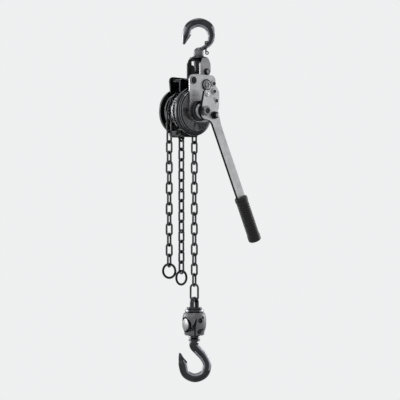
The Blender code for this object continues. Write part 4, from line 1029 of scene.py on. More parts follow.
class HOIST_OT_fasteners(bpy.types.Operator):
    """Stay bolts, pawl pin and yoke bolt with stepped and hexagonal heads"""
    bl_idname = "hoist.fasteners"
    bl_label = "Stays and bolts"

    def execute(self, context):
        for node in STAYS:
            self.add_stay(node, node == "top_stay_bolt")
        self.add_yoke_bolt()
        for node in GUIDE_BOLTS:
            low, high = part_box(node)
            spot, front = axis_of(node), low[1]
            start, end = at_depth(spot, front + 0.0028), at_depth(spot, high[1])
            bar = cylinder("guide_bolt_bar", start, end, GUIDE_BOLT_RADIUS, 28)
            soften(bar, 0.0004)
            head = bolt_head("guide_head", at_depth(spot, front + 0.003), -BACK, 0.0046, 0.003)
            dress(join(f"{node}_hex", [bar, head]), "Forged hook steel", "frame", node)
        return {"FINISHED"}

    def add_stay(self, node, ringed):
        """A stay: a bar with a stepped round head in front and a hexagon nut behind."""
        low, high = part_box(node)
        spot, tip = axis_of(node), low[1]
        radius, head = STAY_RADIUS, STAY_HEAD
        front, back = tip + STAY_HEAD_HEIGHT, high[1] - STAY_HEAD_HEIGHT
        profile = [(0.0, tip), (radius - 0.0004, tip), (radius, tip + 0.0005), (radius, front - 0.0022)]
        if ringed:
            profile = [(0.0, tip + 0.0009), (0.0028, tip + 0.0009), (0.0034, tip + 0.0001),
                       (radius + 0.0009, tip), (radius + 0.0016, tip + 0.0008),
                       (radius + 0.0017, front - 0.0021)]
        profile += [(head - 0.0009, front - 0.0020), (head, front - 0.0012), (head, front),
                    (radius, front), (radius, back), (0.0, back)]
        bar = lathe(f"{node}_bar", profile, spot, "Y", 44)
        nut = bolt_head(f"{node}_nut", at_depth(spot, back), BACK, 0.0066, STAY_HEAD_HEIGHT)
        stay = dress(join(f"{node}_stay", [bar, nut]), "Blackened steel", "frame", node)
        if ringed:
            trim(stay, "Bright machined steel", lambda place, way: place.y > back)
            ring = [(0.0083, front), (0.0083, front - 0.0010), (0.0087, front - 0.0014),
                    (0.0099, front - 0.0014), (0.0104, front - 0.0010), (0.0104, front)]
            dress(lathe(f"{node}_ring", ring, spot, "Y", 48), "Bright machined steel", "frame")
        else:
            trim(stay, "Brushed plate steel",
                 lambda place, way: place.y < front and off_axis(place, spot) > 0.0044)

    def add_yoke_bolt(self):
        """The large bolt: flange, step, raised ring and a hollow middle in front, a hexagon behind."""
        low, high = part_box("yoke_bolt")
        spot, tip = axis_of("yoke_bolt"), low[1]
        front, back = tip + YOKE_BOLT_HEAD_HEIGHT, high[1] - YOKE_BOLT_HEAD_HEIGHT
        profile = [(0.0, tip + 0.0016), (0.0044, tip + 0.0016), (0.0049, tip + 0.0003), (0.0054, tip),
                   (0.0066, tip), (0.0072, tip + 0.0005), (0.0075, front - 0.0024), (0.0094, front - 0.0024),
                   (0.0099, front - 0.0028), (0.0108, front - 0.0025), (0.0114, front - 0.0018),
                   (0.0114, front), (0.006, front), (0.006, back), (0.0, back)]
        bar = lathe("yoke_bolt_bar", profile, spot, "Y", 56)
        nut = bolt_head("yoke_bolt_nut", at_depth(spot, back), BACK, 0.0094, YOKE_BOLT_HEAD_HEIGHT)
        dress(join("yoke_bolt_stepped", [bar, nut]), "Bright machined steel", "frame", "yoke_bolt")
        # A near black ring round the bolt's flange: painted shade for the dark wall round the head.
        ring = [(0.0118, front), (0.0118, front - 0.0018), (0.0122, front - 0.0022), (0.0136, front - 0.0022),
                (0.0141, front - 0.0017), (0.0141, front)]
        dress(lathe("yoke_bolt_shade_ring", ring, spot, "Y", 56), "Blackened steel", "frame")


class HOIST_OT_guide(bpy.types.Operator):
    """Chain guide under the wheel with the spare chain's eye, and the holding pawl"""
    bl_idname = "hoist.guide"
    bl_label = "Chain guide and pawl"

    def execute(self, context):
        self.add_guide()
        self.add_pawl()
        return {"FINISHED"}

    def add_guide(self):
        """The block under the wheel, hollowed for the ratchet wheel, and the flat eye below it."""
        low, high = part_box("chain_guide")
        eye = pivot_of("spare_chain_hang") + (0.0003 + (EYE_WIRE + WIRE) / 2 + PLAY) * UP
        bottom = eye.z + 0.0043
        left, right, top = low[0], high[0], high[2]
        corners = [(left, bottom, 0.003), (right, bottom, 0.003), (right, top, 0.002), (left, top, 0.002)]
        block = slab("chain_guide_block", rounded(corners), high[1], low[1])
        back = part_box("ratchet_wheel")[1][1] + 0.0005
        relief = half_width("ratchet_wheel") + 0.001
        drill(block, cylinder("relief", at_depth(AXIS, back), at_depth(AXIS, -0.05), relief, 96))
        for bolt in GUIDE_BOLTS:
            round_hole(block, middle(bolt), GUIDE_HOLE)
        settle(block, 35)
        soften(block, 0.0008, 40)
        ring = hoop("guide_eye", eye, (math.pi / 2, 0, 0), EYE_RADIUS, EYE_WIRE / 2, 40, 16, 60)
        stretch(EYE_FLATNESS, eye)
        settle(ring, 60)
        dress(join("chain_guide_with_eye", [block, ring]), "Blackened steel", "frame", "chain_guide")

    def add_pawl(self):
        """The holding pawl over the ratchet wheel."""
        low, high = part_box("holding_pawl")
        pin = middle("pawl_pin")
        outline = [on_circle(half_width("ratchet_wheel") + 0.0008, 76), (0.0111, 0.0538)]
        for step in range(25):
            x, z = on_circle(PAWL_KNUCKLE, 105 - step * 8.5)
            outline.append((pin.x - AXLE.x + x, pin.z - AXLE.z + z))
        outline += [(0.0460, 0.0452), (0.0175, 0.0507)]
        pawl = slab("holding_pawl_forged", on_wheel(outline), high[1], low[1])
        round_hole(pawl, pin, PAWL_HOLE)
        settle(pawl, 35)
        soften(pawl, 0.0005, 40)
        dress(pawl, "Forged hook steel", "holding_pawl", "holding_pawl")


# Wheel, ratchet and shaft

class HOIST_OT_wheel(bpy.types.Operator):
    """Pocket wheel with its lugs, ratchet wheel, shaft and nut"""
    bl_idname = "hoist.wheel"
    bl_label = "Load wheel"

    def execute(self, context):
        self.add_pocket_wheel()
        self.add_ratchet()
        self.add_shaft()
        self.add_shaft_nut()
        return {"FINISHED"}

    def add_pocket_wheel(self):
        """Two flanges, a waist with a slot for the upright links and lugs between the flat ones."""
        low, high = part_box("load_wheel")
        flange, half = half_width("load_wheel"), (high[1] - low[1]) / 2
        groove, slot = half - WHEEL_FLANGE, WHEEL_SLOT_HALF
        land, core = CHORD_RADIUS - 0.0035, CHORD_RADIUS - 0.011
        side = [(WHEEL_BORE, half), (flange - 0.0009, half), (flange, half - 0.0009),
                (flange, groove + 0.0008), (flange - 0.0008, groove), (land + 0.001, groove),
                (land, groove - 0.001), (land, slot + 0.0006), (land - 0.0006, slot), (core, slot)]
        profile = side + [(radius, -along) for radius, along in reversed(side)]
        pieces = [lathe("pocket_wheel_turned", profile, AXLE, "Y", 88)]
        foot, crest = land - 0.002, NODE_RADIUS + 0.0007
        flat = [(foot, -0.0072), (foot, 0.0072), (crest, 0.0045), (crest, -0.0045)]
        for pocket in range(5):
            cosine, sine = on_circle(1, 54 + 72 * pocket)
            spun = on_wheel([(x * cosine - z * sine, x * sine + z * cosine) for x, z in flat])
            for way in (1, -1):
                lug = slab("lug", spun, AXLE.y + way * slot, AXLE.y + way * (groove + 0.0008))
                pieces.append(soften(lug, 0.0009))
        dress(join("pocket_wheel", pieces), "Bright machined steel", "load_wheel", "load_wheel")

    def add_ratchet(self):
        """The toothed rim that the pawl drops into."""
        low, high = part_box("ratchet_wheel")
        radius = RATCHET_RADIUS
        outline = []
        for tooth in range(RATCHET_TEETH):
            angle = -3 + 360 / RATCHET_TEETH * tooth
            outline += [on_circle(radius - 0.0042, angle - 1), on_circle(radius, angle),
                        on_circle(radius - 0.0003, angle + 0.7)]
        ratchet = slab("ratchet_teeth", on_wheel(outline), high[1], low[1])
        round_hole(ratchet, AXLE, WHEEL_BORE)
        settle(ratchet, 30)
        soften(ratchet, 0.0003, 30, 1)
        dress(ratchet, "Bright machined steel", "load_wheel", "ratchet_wheel")
        # Painted shade: the tooth flanks deep in the gaps get the near black steel, so the gaps read dark
        # between bright teeth.
        trim(ratchet, "Blackened steel", lambda place, way: low[1] + 0.0006 < place.y < high[1] - 0.0006
             and 0.02 < off_axis(place, AXLE) < radius - 0.0009)

    def add_shaft(self):
        """The shaft with its centred, chamfered and threaded end."""
        low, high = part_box("drive_shaft")
        front, back = low[1], high[1]
        profile = [(0.0, front + 0.002), (0.0016, front + 0.0006), (0.0020, front), (0.0056, front),
                   (0.0066, front + 0.0010)]
        along = front + 0.0014
        nut_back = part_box("shaft_nut")[1][1]
        while along < nut_back - 0.001:
            profile += [(0.0068, along), (0.0063, along + 0.0005)]
            along += 0.001
        profile += [(0.0069, nut_back - 0.0002), (0.0069, nut_back + 0.0004), (0.0084, nut_back + 0.0004),
                    (0.0090, nut_back + 0.0010), (0.0090, back - 0.0006), (0.0084, back), (0.0, back)]
        shaft = lathe("shaft_turned", profile, AXIS, "Y", 48)
        dress(shaft, "Blackened steel", "load_wheel", "drive_shaft")

    def add_shaft_nut(self):
        """The chamfered hexagon nut on the shaft's end."""
        low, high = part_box("shaft_nut")
        front, back = low[1], high[1]
        start, end = at_depth(AXIS, front), at_depth(AXIS, back)
        nut = cylinder("shaft_hex", end, start, SHAFT_NUT_RADIUS, 6)
        profile = [(0.0, front - 0.001), (0.0098, front - 0.001), (0.0128, front + 0.0016),
                   (0.0128, back - 0.0010), (0.0112, back + 0.001), (0.0, back + 0.001)]
        boolean(nut, lathe("chamfer", profile, AXIS, "Y", 48), "INTERSECT")
        drill(nut, cylinder("bore", start - 0.01 * BACK, end + 0.01 * BACK, SHAFT_NUT_BORE, 40))
        settle(nut, 30)
        soften(nut, 0.0003, 30)
        dress(nut, "Bright machined steel", "load_wheel", "shaft_nut")


# Lever

def lever_point(side, along):
    """A point (x, z) from the axle, across and along the lever's bar."""
    sine, cosine = math.sin(LEVER_ANGLE), math.cos(LEVER_ANGLE)
    return (side * cosine + along * sine, side * sine - along * cosine)


class HOIST_OT_lever(bpy.types.Operator):
    """Ratchet housing, lever arm, head screw, selector knob and the ribbed grip"""
    bl_idname = "hoist.lever"
    bl_label = "Hand lever"

    def execute(self, context):
        self.add_housing()
        self.add_arm()
        self.add_screw()
        self.add_selector()
        self.add_grip()
        return {"FINISHED"}

    def add_housing(self):
        """The stepped hub between the cover and the arm."""
        low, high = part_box("ratchet_housing")
        r, f, b = half_width("ratchet_housing"), low[1], high[1]
        profile = [(SHAFT_HOLE, f), (0.0156, f), (0.0163, f + 0.0005), (0.0168, f + 0.0018),
                   (0.0176, f + 0.0022), (0.0180, f + 0.0030), (0.0181, b - 0.0128), (0.0187, b - 0.0122),
                   (0.0190, b - 0.0112), (0.0190, b - 0.0098), (r - 0.0024, b - 0.0093),
                   (r - 0.0010, b - 0.0089), (r - 0.0002, b - 0.0080), (r, b - 0.0070), (r, b - 0.0048),
                   (r - 0.0007, b - 0.0043), (r - 0.0007, b - 0.0034), (r, b - 0.0029), (r, b - 0.0006),
                   (r - 0.0005, b), (r - 0.003, b), (r - 0.003, b - 0.0065), (SHAFT_HOLE, b - 0.0065)]
        hub = lathe("ratchet_hub", profile, AXIS, "Y", 96)
        spot = pivot_of("drive_pawl_hinge")
        start, end = at_depth(spot, b - 0.0070), at_depth(spot, b - 0.0010)
        post = cylinder("pawl_post", start, end, DRIVE_PAWL_POST, 20)
        settle(post, 40)
        dress(join("ratchet_hub_with_post", [hub, post]), "Black cover paint", "lever", "ratchet_housing")
        trim(hub, "Bright machined steel", lambda place, way: place.y < b - 0.0096)

    def add_arm(self):
        """The flat arm with its wide head."""
        low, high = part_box("lever_arm")
        near, far = BAR_OFFSET + BAR_HALF, BAR_OFFSET - BAR_HALF
        corners = [(-0.0145, -0.017, 0.014), (0.001, 0.0515, 0.0075), (0.0165, 0.0515, 0.0075),
                   (0.0455, 0.004, 0.012), (*lever_point(near, 0.055), 0.03),
                   (*lever_point(near, BAR_END), 0.003), (*lever_point(far, BAR_END), 0.003),
                   (*lever_point(far, 0.032), 0.02)]
        arm = slab("arm_flat", on_wheel(rounded(corners, 10)), high[1], low[1])
        round_hole(arm, AXLE, SHAFT_HOLE)
        round_hole(arm, middle("selector_knob"), SELECTOR_HOLE)
        round_hole(arm, middle("head_screw"), SCREW_HOLE)
        settle(arm, 35)
        soften(arm, 0.0010, 40)
        dress(arm, "Brushed lever steel", "lever", "lever_arm")
        # Painted shade: the arm's side faces get the near black steel.
        trim(arm, "Blackened steel", lambda place, way: abs(way.y) < 0.5)

    def add_screw(self):
        """The pan head screw of the arm, with a slot."""
        low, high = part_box("head_screw")
        spot, f, b = axis_of("head_screw"), low[1], high[1]
        profile = [(0.0, f), (0.0036, f + 0.0001), (0.0050, f + 0.0007), (0.0058, f + 0.0017),
                   (0.006, f + 0.0026), (0.006, f + 0.003), (0.003, f + 0.003), (0.003, b - 0.003),
                   (0.0058, b - 0.003), (0.0058, b - 0.0005), (0.0052, b), (0.0, b)]
        screw = lathe("screw_pan", profile, spot, "Y", 40)
        drill(screw, slot_cutter(at_depth(spot, f + 0.0003), (0.014, 0.0022, 0.0013), (0, 0.5, 0)))
        settle(screw, 30)
        dress(screw, "Brushed lever steel", "lever", "head_screw")

    def add_selector(self):
        """The turning knob that picks up, free or down, with finger scallops."""
        low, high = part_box("selector_knob")
        spot, f, b = axis_of("selector_knob"), low[1], high[1]
        profile = [(0.0, f), (0.0050, f), (0.0060, f + 0.0005), (0.0072, f + 0.0014), (0.0077, f + 0.0022),
                   (0.0078, f + 0.0078), (0.0086, f + 0.0083), (0.0094, f + 0.0088), (0.0095, f + 0.0094),
                   (0.0095, f + 0.0117), (0.0035, f + 0.0117), (0.0035, b - 0.0040), (0.0059, b - 0.0040),
                   (0.0059, b - 0.0004), (0.0055, b), (0.0, b)]
        knob = lathe("selector_turned", profile, spot, "Y", 72)
        for step in range(SCALLOPS):
            x, z = on_circle(SCALLOP_CIRCLE, 360 / SCALLOPS * step)
            at = spot + Vector((x, 0, z))
            start, end = at_depth(at, f - 0.001), at_depth(at, f + 0.0072)
            drill(knob, cylinder("scallop", start, end, SCALLOP_RADIUS, 16))
        settle(knob, 32)
        dress(knob, "Blackened steel", "selector", "selector_knob")
        trim(knob, "Bright machined steel",
             lambda place, way: place.y < f + 0.0004 and off_axis(place, spot) < 0.0049)

    def add_grip(self):
        """The moulded grip: collars at both ends, ribs between them and a slot for the bar."""
        low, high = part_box("lever_arm")
        level, length, r = (low[1] + high[1]) / 2, GRIP_LENGTH, GRIP_RADIUS
        start = BAR_END - length + GRIP_PAST_BAR
        profile = [(0.0, 0.0), (0.0138, 0.0), (0.0152, 0.0006), (r - 0.0003, 0.0020), (r, 0.0034),
                   (r, 0.0108), (r - 0.0004, 0.0122), (r - 0.0013, 0.0132)]
        along = 0.0150
        while along < length - 0.0190:
            profile += [(r - 0.0014, along), (r - 0.0010, along + 0.0008), (r - 0.0008, along + 0.0024),
                        (r - 0.0010, along + 0.0040), (r - 0.0014, along + 0.0048),
                        (r - 0.0022, along + 0.0053)]
            along += bpy.context.scene.hoist_sizes.grip_rib
        profile += [(r - 0.0012, length - 0.0172), (r - 0.0004, length - 0.0164), (r, length - 0.0150),
                    (r, length - 0.0046), (r - 0.0006, length - 0.0026), (r - 0.0016, length - 0.0012),
                    (r - 0.0031, length), (0.0, length)]
        grip = lathe("grip_turned", [(radius, -reach) for radius, reach in profile], ORIGIN, "Z", 80)
        x, z = lever_point(BAR_OFFSET, start)
        place = Vector((AXLE.x + x, level, AXLE.z + z))
        grip.matrix_world = Matrix.Translation(place) @ Matrix.Rotation(-LEVER_ANGLE, 4, "Y")
        settle(grip, 40)
        near, far = BAR_OFFSET + BAR_HALF + GRIP_PLAY, BAR_OFFSET - BAR_HALF - GRIP_PLAY
        above, below = start - 0.01, BAR_END + GRIP_PLAY
        pocket = [lever_point(near, above), lever_point(far, above), lever_point(far, below),
                  lever_point(near, below)]
        drill(grip, slab("pocket", on_wheel(pocket), high[1] + GRIP_PLAY, low[1] - GRIP_PLAY))
        settle(grip, 40)
        dress(grip, "Grip rubber", "lever", "lever_grip")


# Chains

def master_link(name, pitch, width):
    """One link, along Z and across X: a ring pulled apart at its middle."""
    bend = (width - WIRE) / 2
    straight = pitch / 2 + OVERHANG - WIRE / 2 - bend
    clear()
    bpy.ops.mesh.primitive_torus_add(location=ORIGIN, rotation=(math.pi / 2, 0, 0), major_radius=bend,
                                     minor_radius=WIRE / 2, major_segments=28, minor_segments=14)
    piece = bpy.context.object
    piece.name = name
    edit()
    bpy.ops.transform.rotate(value=math.pi / 28, orient_axis="Z", orient_type="LOCAL",
                             center_override=ORIGIN)
    apply_place(piece)
    for way in (1, -1):
        edit(False)
        bpy.ops.object.mode_set(mode="OBJECT")
        for vertex in piece.data.vertices:
            vertex.select = vertex.co.z * way > 0.0001
        bpy.ops.object.mode_set(mode="EDIT")
        bpy.ops.transform.translate(value=(0, 0, way * straight))
        clear()
    return settle(piece, 80)


def place_link(master, centre, along, across):
    """A copy of a link with its own mesh, put at its place."""
    link = master.copy()
    link.data = master.data.copy()
    bpy.context.scene.collection.objects.link(link)
    turn = Matrix((across, across.cross(-along), along)).transposed().to_4x4()
    link.matrix_world = Matrix.Translation(centre) @ turn
    apply_place(link)
    return link


class HOIST_OT_chains(bpy.types.Operator):
    """The load chain, the tail and spare chains with their rings, and the links on the wheel"""
    bl_idname = "hoist.chains"
    bl_label = "Chains and rings"

    def execute(self, context):
        self.common = master_link("chain_link", LINK_PITCH, LINK_WIDTH)
        self.last = master_link("chain_end_link", END_LINK_PITCH, END_LINK_WIDTH)
        self.wrap()
        self.hang("load_chain", "load_chain_lead", (5, 5, 4, 4), 0.0, CHAIN_TWIST, WIRE, True)
        angle = self.hang("tail_chain", "tail_chain_lead", (5, 5, 5), 0.0, CHAIN_TWIST, WIRE, False)
        self.ring("tail_ring", "tail_ring_hang", angle)
        angle = self.hang("spare_chain", "spare_chain_hang", (5, 4, 4), math.pi / 2, 0.0, EYE_WIRE, False)
        self.ring("spare_ring", "spare_ring_hang", angle)
        for master in (self.common, self.last):
            bpy.data.objects.remove(master)
        return {"FINISHED"}

    def wrap(self):
        """The five links over the wheel."""
        links = []
        for index in range(5):
            angle = LINK_TURN * (2 * index + 1)
            out = Vector((math.cos(angle), 0, math.sin(angle)))
            across = out if index % 2 else BACK
            along = Vector((-out.z, 0, out.x))
            links.append(place_link(self.common, AXLE + CHORD_RADIUS * out, along, across))
        dress(join("chain_over_wheel", links), "Chain steel", "load_wheel", "wheel_chain")

    def hang(self, name, joint, groups, angle, twist, first_wire, large_end):
        """One hanging chain, a piece for each moving segment; returns the next side angle."""
        pivot = pivot_of(joint)
        wire = first_wire
        for number, count in enumerate(groups, start=1):
            node = pivot + (wire / 2 + PLAY + WIRE - OVERHANG) * UP
            links = []
            for index in range(count):
                large = large_end and number == len(groups) and index == count - 1
                pitch = END_LINK_PITCH if large else LINK_PITCH
                across = Vector((math.cos(angle), math.sin(angle), 0))
                master = self.last if large else self.common
                links.append(place_link(master, node - pitch / 2 * UP, UP, across))
                node = node - pitch * UP
                angle += math.pi / 2 + (twist / groups[0] if number == 1 else 0)
            pivot = node - (OVERHANG - WIRE / 2) * UP
            wire = WIRE
            dress(join(f"{name}_run_{number}", links), "Chain steel", f"{name}_{number}", f"{name}_{number}")
        return angle

    def ring(self, body, joint, angle):
        """A slack chain's round end ring."""
        centre = pivot_of(joint) + ((WIRE + RING_WIRE) / 2 + PLAY - RING_RADIUS) * UP
        ring = hoop(f"{body}_round", centre, (math.pi / 2, 0, angle), RING_RADIUS, RING_WIRE / 2, 64, 16, 80)
        dress(ring, "Blackened steel", body, body)


# Hook block and bottom hook

class HOIST_OT_block(bpy.types.Operator):
    """Chain bail, collar, the two bolted halves of the block and the neck ring"""
    bl_idname = "hoist.block"
    bl_label = "Hook block"

    def execute(self, context):
        pivot = pivot_of("bottom_hook_swivel")
        self.spot = Vector((pivot.x, pivot.y, 0))
        self.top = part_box("block_right")[1][2]
        self.add_bail()
        self.add_collar()
        self.add_halves()
        self.add_boss()
        self.add_heads()
        self.add_bolts()
        self.add_neck()
        return {"FINISHED"}

    def at(self, down):
        """A point on the block's axis, below its top."""
        return self.spot + (self.top - down) * UP

    def add_bail(self):
        """A flattened bail standing on a round flange."""
        pivot = pivot_of("hook_block_hang")
        across = Vector((math.cos(BAIL_TURN), math.sin(BAIL_TURN), 0))
        crown = (WIRE + BAIL_WIRE) / 2 + PLAY
        centre, foot, r = crown - BAIL_RADIUS, crown - BAIL_HEIGHT, BAIL_RADIUS
        points = [Vector((r, 0, foot)), Vector((r, 0, (foot + centre) / 2))]
        for step in range(17):
            turn = math.pi * step / 16
            points.append(Vector((r * math.cos(turn), 0, centre + r * math.sin(turn))))
        points += [Vector((-r, 0, (foot + centre) / 2)), Vector((-r, 0, foot))]
        bail = rod("bail_bar", points, [BAIL_WIRE / 2] * len(points), sides=5)
        stretch(BAIL_FLATNESS)
        turned = Matrix((across, UP.cross(across), UP)).transposed().to_4x4()
        bail.matrix_world = Matrix.Translation(pivot) @ turned
        settle(bail, 50)
        top = pivot.z + foot + 0.002
        profile = [(0.0, top), (0.0178, top), (0.0186, top - 0.0004), (0.0193, top - 0.0014),
                   (0.0195, top - 0.0026), (0.0195, top - 0.0044), (0.0191, top - 0.005), (0.0, top - 0.005)]
        flange = lathe("bail_flange", profile, self.spot, "Z", 72)
        dress(join("bail_with_flange", [bail, flange]), "Forged hook steel", "hook_block", "chain_bail")

    def add_collar(self):
        """The rounded ring under the bail."""
        low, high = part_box("block_collar")
        r, bottom, top = half_width("block_collar"), low[2], high[2]
        profile = [(0.0, top), (r - 0.0024, top), (r - 0.0010, top - 0.0005), (r - 0.0002, top - 0.0016),
                   (r, top - 0.0028), (r, bottom + 0.0030), (r - 0.0006, bottom + 0.0026),
                   (r - 0.0006, bottom + 0.0018), (r, bottom + 0.0014), (r - 0.0004, bottom + 0.0004),
                   (r - 0.0014, bottom), (0.0, bottom)]
        collar = lathe("block_collar_ring", profile, self.spot, "Z", 88)
        dress(collar, "Forged hook steel", "hook_block", "block_collar")
        # Painted highlights: bright bands near both sides of the collar.
        paint_end_highlights(collar)

    def add_halves(self):
        """Two half shells whose parting line faces the camera's side."""
        bottom, t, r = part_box("block_right")[0][2], self.top, BLOCK_RADIUS
        neck, cavity = STEM_HOLE, BLOCK_CAVITY
        profile = [(neck, t), (r - 0.0066, t), (r - 0.0048, t - 0.0004), (r - 0.0032, t - 0.0018),
                   (r - 0.0018, t - 0.0052), (r - 0.0006, t - 0.0105), (r - 0.0001, t - 0.0160),
                   (r, t - 0.0205), (r - 0.0001, t - 0.0290), (r - 0.0006, t - 0.0362),
                   (r - 0.0022, t - 0.0420), (r - 0.0041, t - 0.0462), (r - 0.0047, t - 0.0490),
                   (r - 0.0051, bottom + 0.0032), (r - 0.0060, bottom + 0.0012), (r - 0.0082, bottom),
                   (neck, bottom), (neck, bottom + 0.012), (cavity, bottom + 0.012), (cavity, t - 0.010),
                   (neck, t - 0.010)]
        for node, way in (("block_right", 1), ("block_left", -1)):
            half = lathe(f"{node}_shell", profile, self.spot, "Z", 72)
            self.cut_half(half, way, bottom)
            if way == 1:
                self.cut_seats(half)
            else:
                self.cut_recess(half)
            settle(half, 35)
            soften(half, 0.0006, 45)
            dress(half, "Cast block grey", "hook_block", node)
            # Painted shade: the faces inside the seam, the recess, the bolt seats and the cavity get the near
            # black steel.
            trim(half, "Blackened steel", lambda place, way: bottom + 0.004 < place.z < t - 0.004
                 and math.hypot(place.x - self.spot.x, place.y - self.spot.y) < 0.0246)

    def cut_half(self, half, way, bottom):
        """Cuts the other side away, the bolt holes and the slanted seam in front."""
        foot, t = self.spot + (bottom - 0.05) * UP, self.top
        sides = ((PARTING_HALF, 0.1), (PARTING_HALF, -0.1), (-0.1, -0.1), (-0.1, 0.1))
        corners = [along_hook(foot, way * side, 0, face) for side, face in sides]
        drill(half, plate("other_side", corners, (t - bottom + 0.1) * UP))
        for across, down in BLOCK_BOLTS:
            centre, reach = self.at(down) + across * HOOK_FACE, DRILL_REACH * HOOK_SIDE
            drill(half, cylinder("bolt_hole", centre - reach, centre + reach, BLOCK_BOLT_HOLE, 24))
        seam = [(0.0058, t - 0.012), (0.0064, t - 0.020), (0.0040, t - 0.034), (0.0034, bottom - 0.001),
                (-0.0130, bottom - 0.001), (-0.0112, t - 0.041), (-0.0026, t - 0.029)]
        outline = [along_hook(self.spot, side, z, 0.0175) for side, z in seam]
        drill(half, plate("seam", outline, 0.03 * HOOK_FACE))

    def cut_seats(self, half):
        """Two round seats for the bolt heads on the right front."""
        for down in HEAD_DEPTHS:
            start, end = self.at(down) + 0.0242 * BOLT_WAY, self.at(down) + 0.05 * BOLT_WAY
            drill(half, cylinder("seat", start, end, SEAT_RADIUS, 36))

    def cut_recess(self, half):
        """The round recess on the left that the boss stands in."""
        spot = self.at(BOSS_DEPTH) - 0.003 * BOSS_WAY.cross(UP)
        start, end = spot + 0.0155 * BOSS_WAY, spot + 0.06 * BOSS_WAY
        drill(half, cylinder("recess", start, end, RECESS_RADIUS, 64))

    def add_boss(self):
        """A round boss with a light end face, standing in the recess."""
        spot = self.at(BOSS_DEPTH)
        start, end = spot + 0.0154 * BOSS_WAY, spot + 0.0262 * BOSS_WAY
        boss = cylinder("round_boss", start, end, BOSS_RADIUS, 56)
        soften(boss, 0.0009)
        # Painted shade: the boss's side wall is near black steel, standing for the shadow gap round it; its
        # end face is a lighter steel.
        dress(boss, "Blackened steel", "hook_block")
        trim(boss, "Brushed yoke steel", lambda place, way: (place - spot).dot(BOSS_WAY) > 0.0255)

    def add_heads(self):
        """The bolt heads in the two seats."""
        for number, down in enumerate(HEAD_DEPTHS, start=1):
            spot = self.at(down) + 0.0241 * BOLT_WAY
            head = bolt_head(f"block_head_{number}", spot, BOLT_WAY, 0.0036, 0.0034, 24, 0.45)
            dress(head, "Forged hook steel", "hook_block")

    def add_bolts(self):
        """The bolts across the block, with a sunk socket in their ends."""
        for number, (across, down) in enumerate(BLOCK_BOLTS, start=1):
            centre = self.at(down) + across * HOOK_FACE
            reach = math.sqrt(0.027 ** 2 - across ** 2) + 0.001
            end = centre + reach * HOOK_SIDE
            bar = cylinder("bolt_bar", centre - reach * HOOK_SIDE, end, BLOCK_BOLT_RADIUS, 28)
            drill(bar, cylinder("socket", end - 0.0014 * HOOK_SIDE, end + 0.01 * HOOK_SIDE, 0.0013, 6))
            settle(bar, 35)
            soften(bar, 0.0003, 40)
            dress(bar, "Blackened steel", "hook_block", f"block_bolt_{number}")

    def add_neck(self):
        """The grooved ring between the block and the hook."""
        low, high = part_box("neck_ring")
        n, top, bottom = NECK_RADIUS, high[2], low[2]
        profile = [(STEM_HOLE, top), (n - 0.0020, top), (n - 0.0006, top - 0.0012), (n, top - 0.0026),
                   (n, top - 0.0048), (n - 0.0010, top - 0.0060), (n - 0.0026, top - 0.0068),
                   (n - 0.0030, top - 0.0075), (n - 0.0026, top - 0.0082), (n - 0.0008, top - 0.0088),
                   (n, top - 0.0096), (n, bottom + 0.0022), (n - 0.0006, bottom + 0.0010),
                   (n - 0.0020, bottom), (STEM_HOLE, bottom)]
        ring = lathe("neck_ring_turned", profile, self.spot, "Z", 64)
        dress(ring, "Forged hook steel", "hook_block", "neck_ring")
        # Painted highlights: bright bands near both sides of the neck ring.
        paint_end_highlights(ring)


class HOIST_OT_bottom_hook(bpy.types.Operator):
    """Forged bottom hook on its swivel stem"""
    bl_idname = "hoist.bottom_hook"
    bl_label = "Bottom hook"

    def execute(self, context):
        pivot = pivot_of("bottom_hook_swivel")
        bowl = along_hook(pivot, 0.05 * HOOK_RADIUS, -1.87 * HOOK_RADIUS)
        hook = forged_hook("bottom_hook_forging", BOTTOM_HOOK_KEYS, bowl)
        add_point(hook, bowl, BOTTOM_POINT)
        top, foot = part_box("bottom_hook")[1][2], pivot.z - 0.006
        profile = [(0.0, foot), (0.008, foot), (0.008, top - 0.0012), (0.0070, top), (0.0, top)]
        stem = lathe("bottom_stem", profile, Vector((pivot.x, pivot.y, 0)), "Z", 44)
        dress(join("bottom_hook_body", [hook, stem]), "Forged hook steel", "bottom_hook", "bottom_hook")
        # Painted highlights: bright bands by the hook's inner rim and along its outer rim.
        paint_rim_highlights(hook, bowl, -0.4, 1.6, False)
        return {"FINISHED"}


# Hidden working parts that keep their CAD shape

class HOIST_OT_inner_parts(bpy.types.Operator):
    """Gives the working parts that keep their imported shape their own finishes"""
    bl_idname = "hoist.inner_parts"
    bl_label = "Inner parts"

    def execute(self, context):
        finishes = {"pressure_plate": "Bright machined steel", "friction_disc": "Grip rubber",
                    "front_bearing": "Bearing bronze", "rear_bearing": "Bearing bronze",
                    "drive_ratchet": "Bright machined steel", "drive_pawl": "Forged hook steel",
                    "bottom_hook_nut": "Blackened steel"}
        for node, finish in finishes.items():
            for slot in frame["nodes"][node].material_slots:
                slot.material = bpy.data.materials[finish]
        return {"FINISHED"}


# Stage

VIEW_MIDDLE = (0.00325, -0.4325)
VIEW_HEIGHT = 1.0
CAMERA_DISTANCE = 5.0
FLOOR_RADIUS = 3.2
FLOOR_HEIGHT = -1.6


def light(name, place, target, width, height, power):
    """A soft area lamp of its own width and height."""
    data = bpy.data.lights.new(name, "AREA")
    data.shape = "RECTANGLE"
    data.size = width
    data.size_y = height
    data.energy = power
    lamp = bpy.data.objects.new(name, data)
    bpy.context.scene.collection.objects.link(lamp)
    lamp.location = place
    lamp.rotation_euler = (target - place).to_track_quat("-Z", "Y").to_euler()


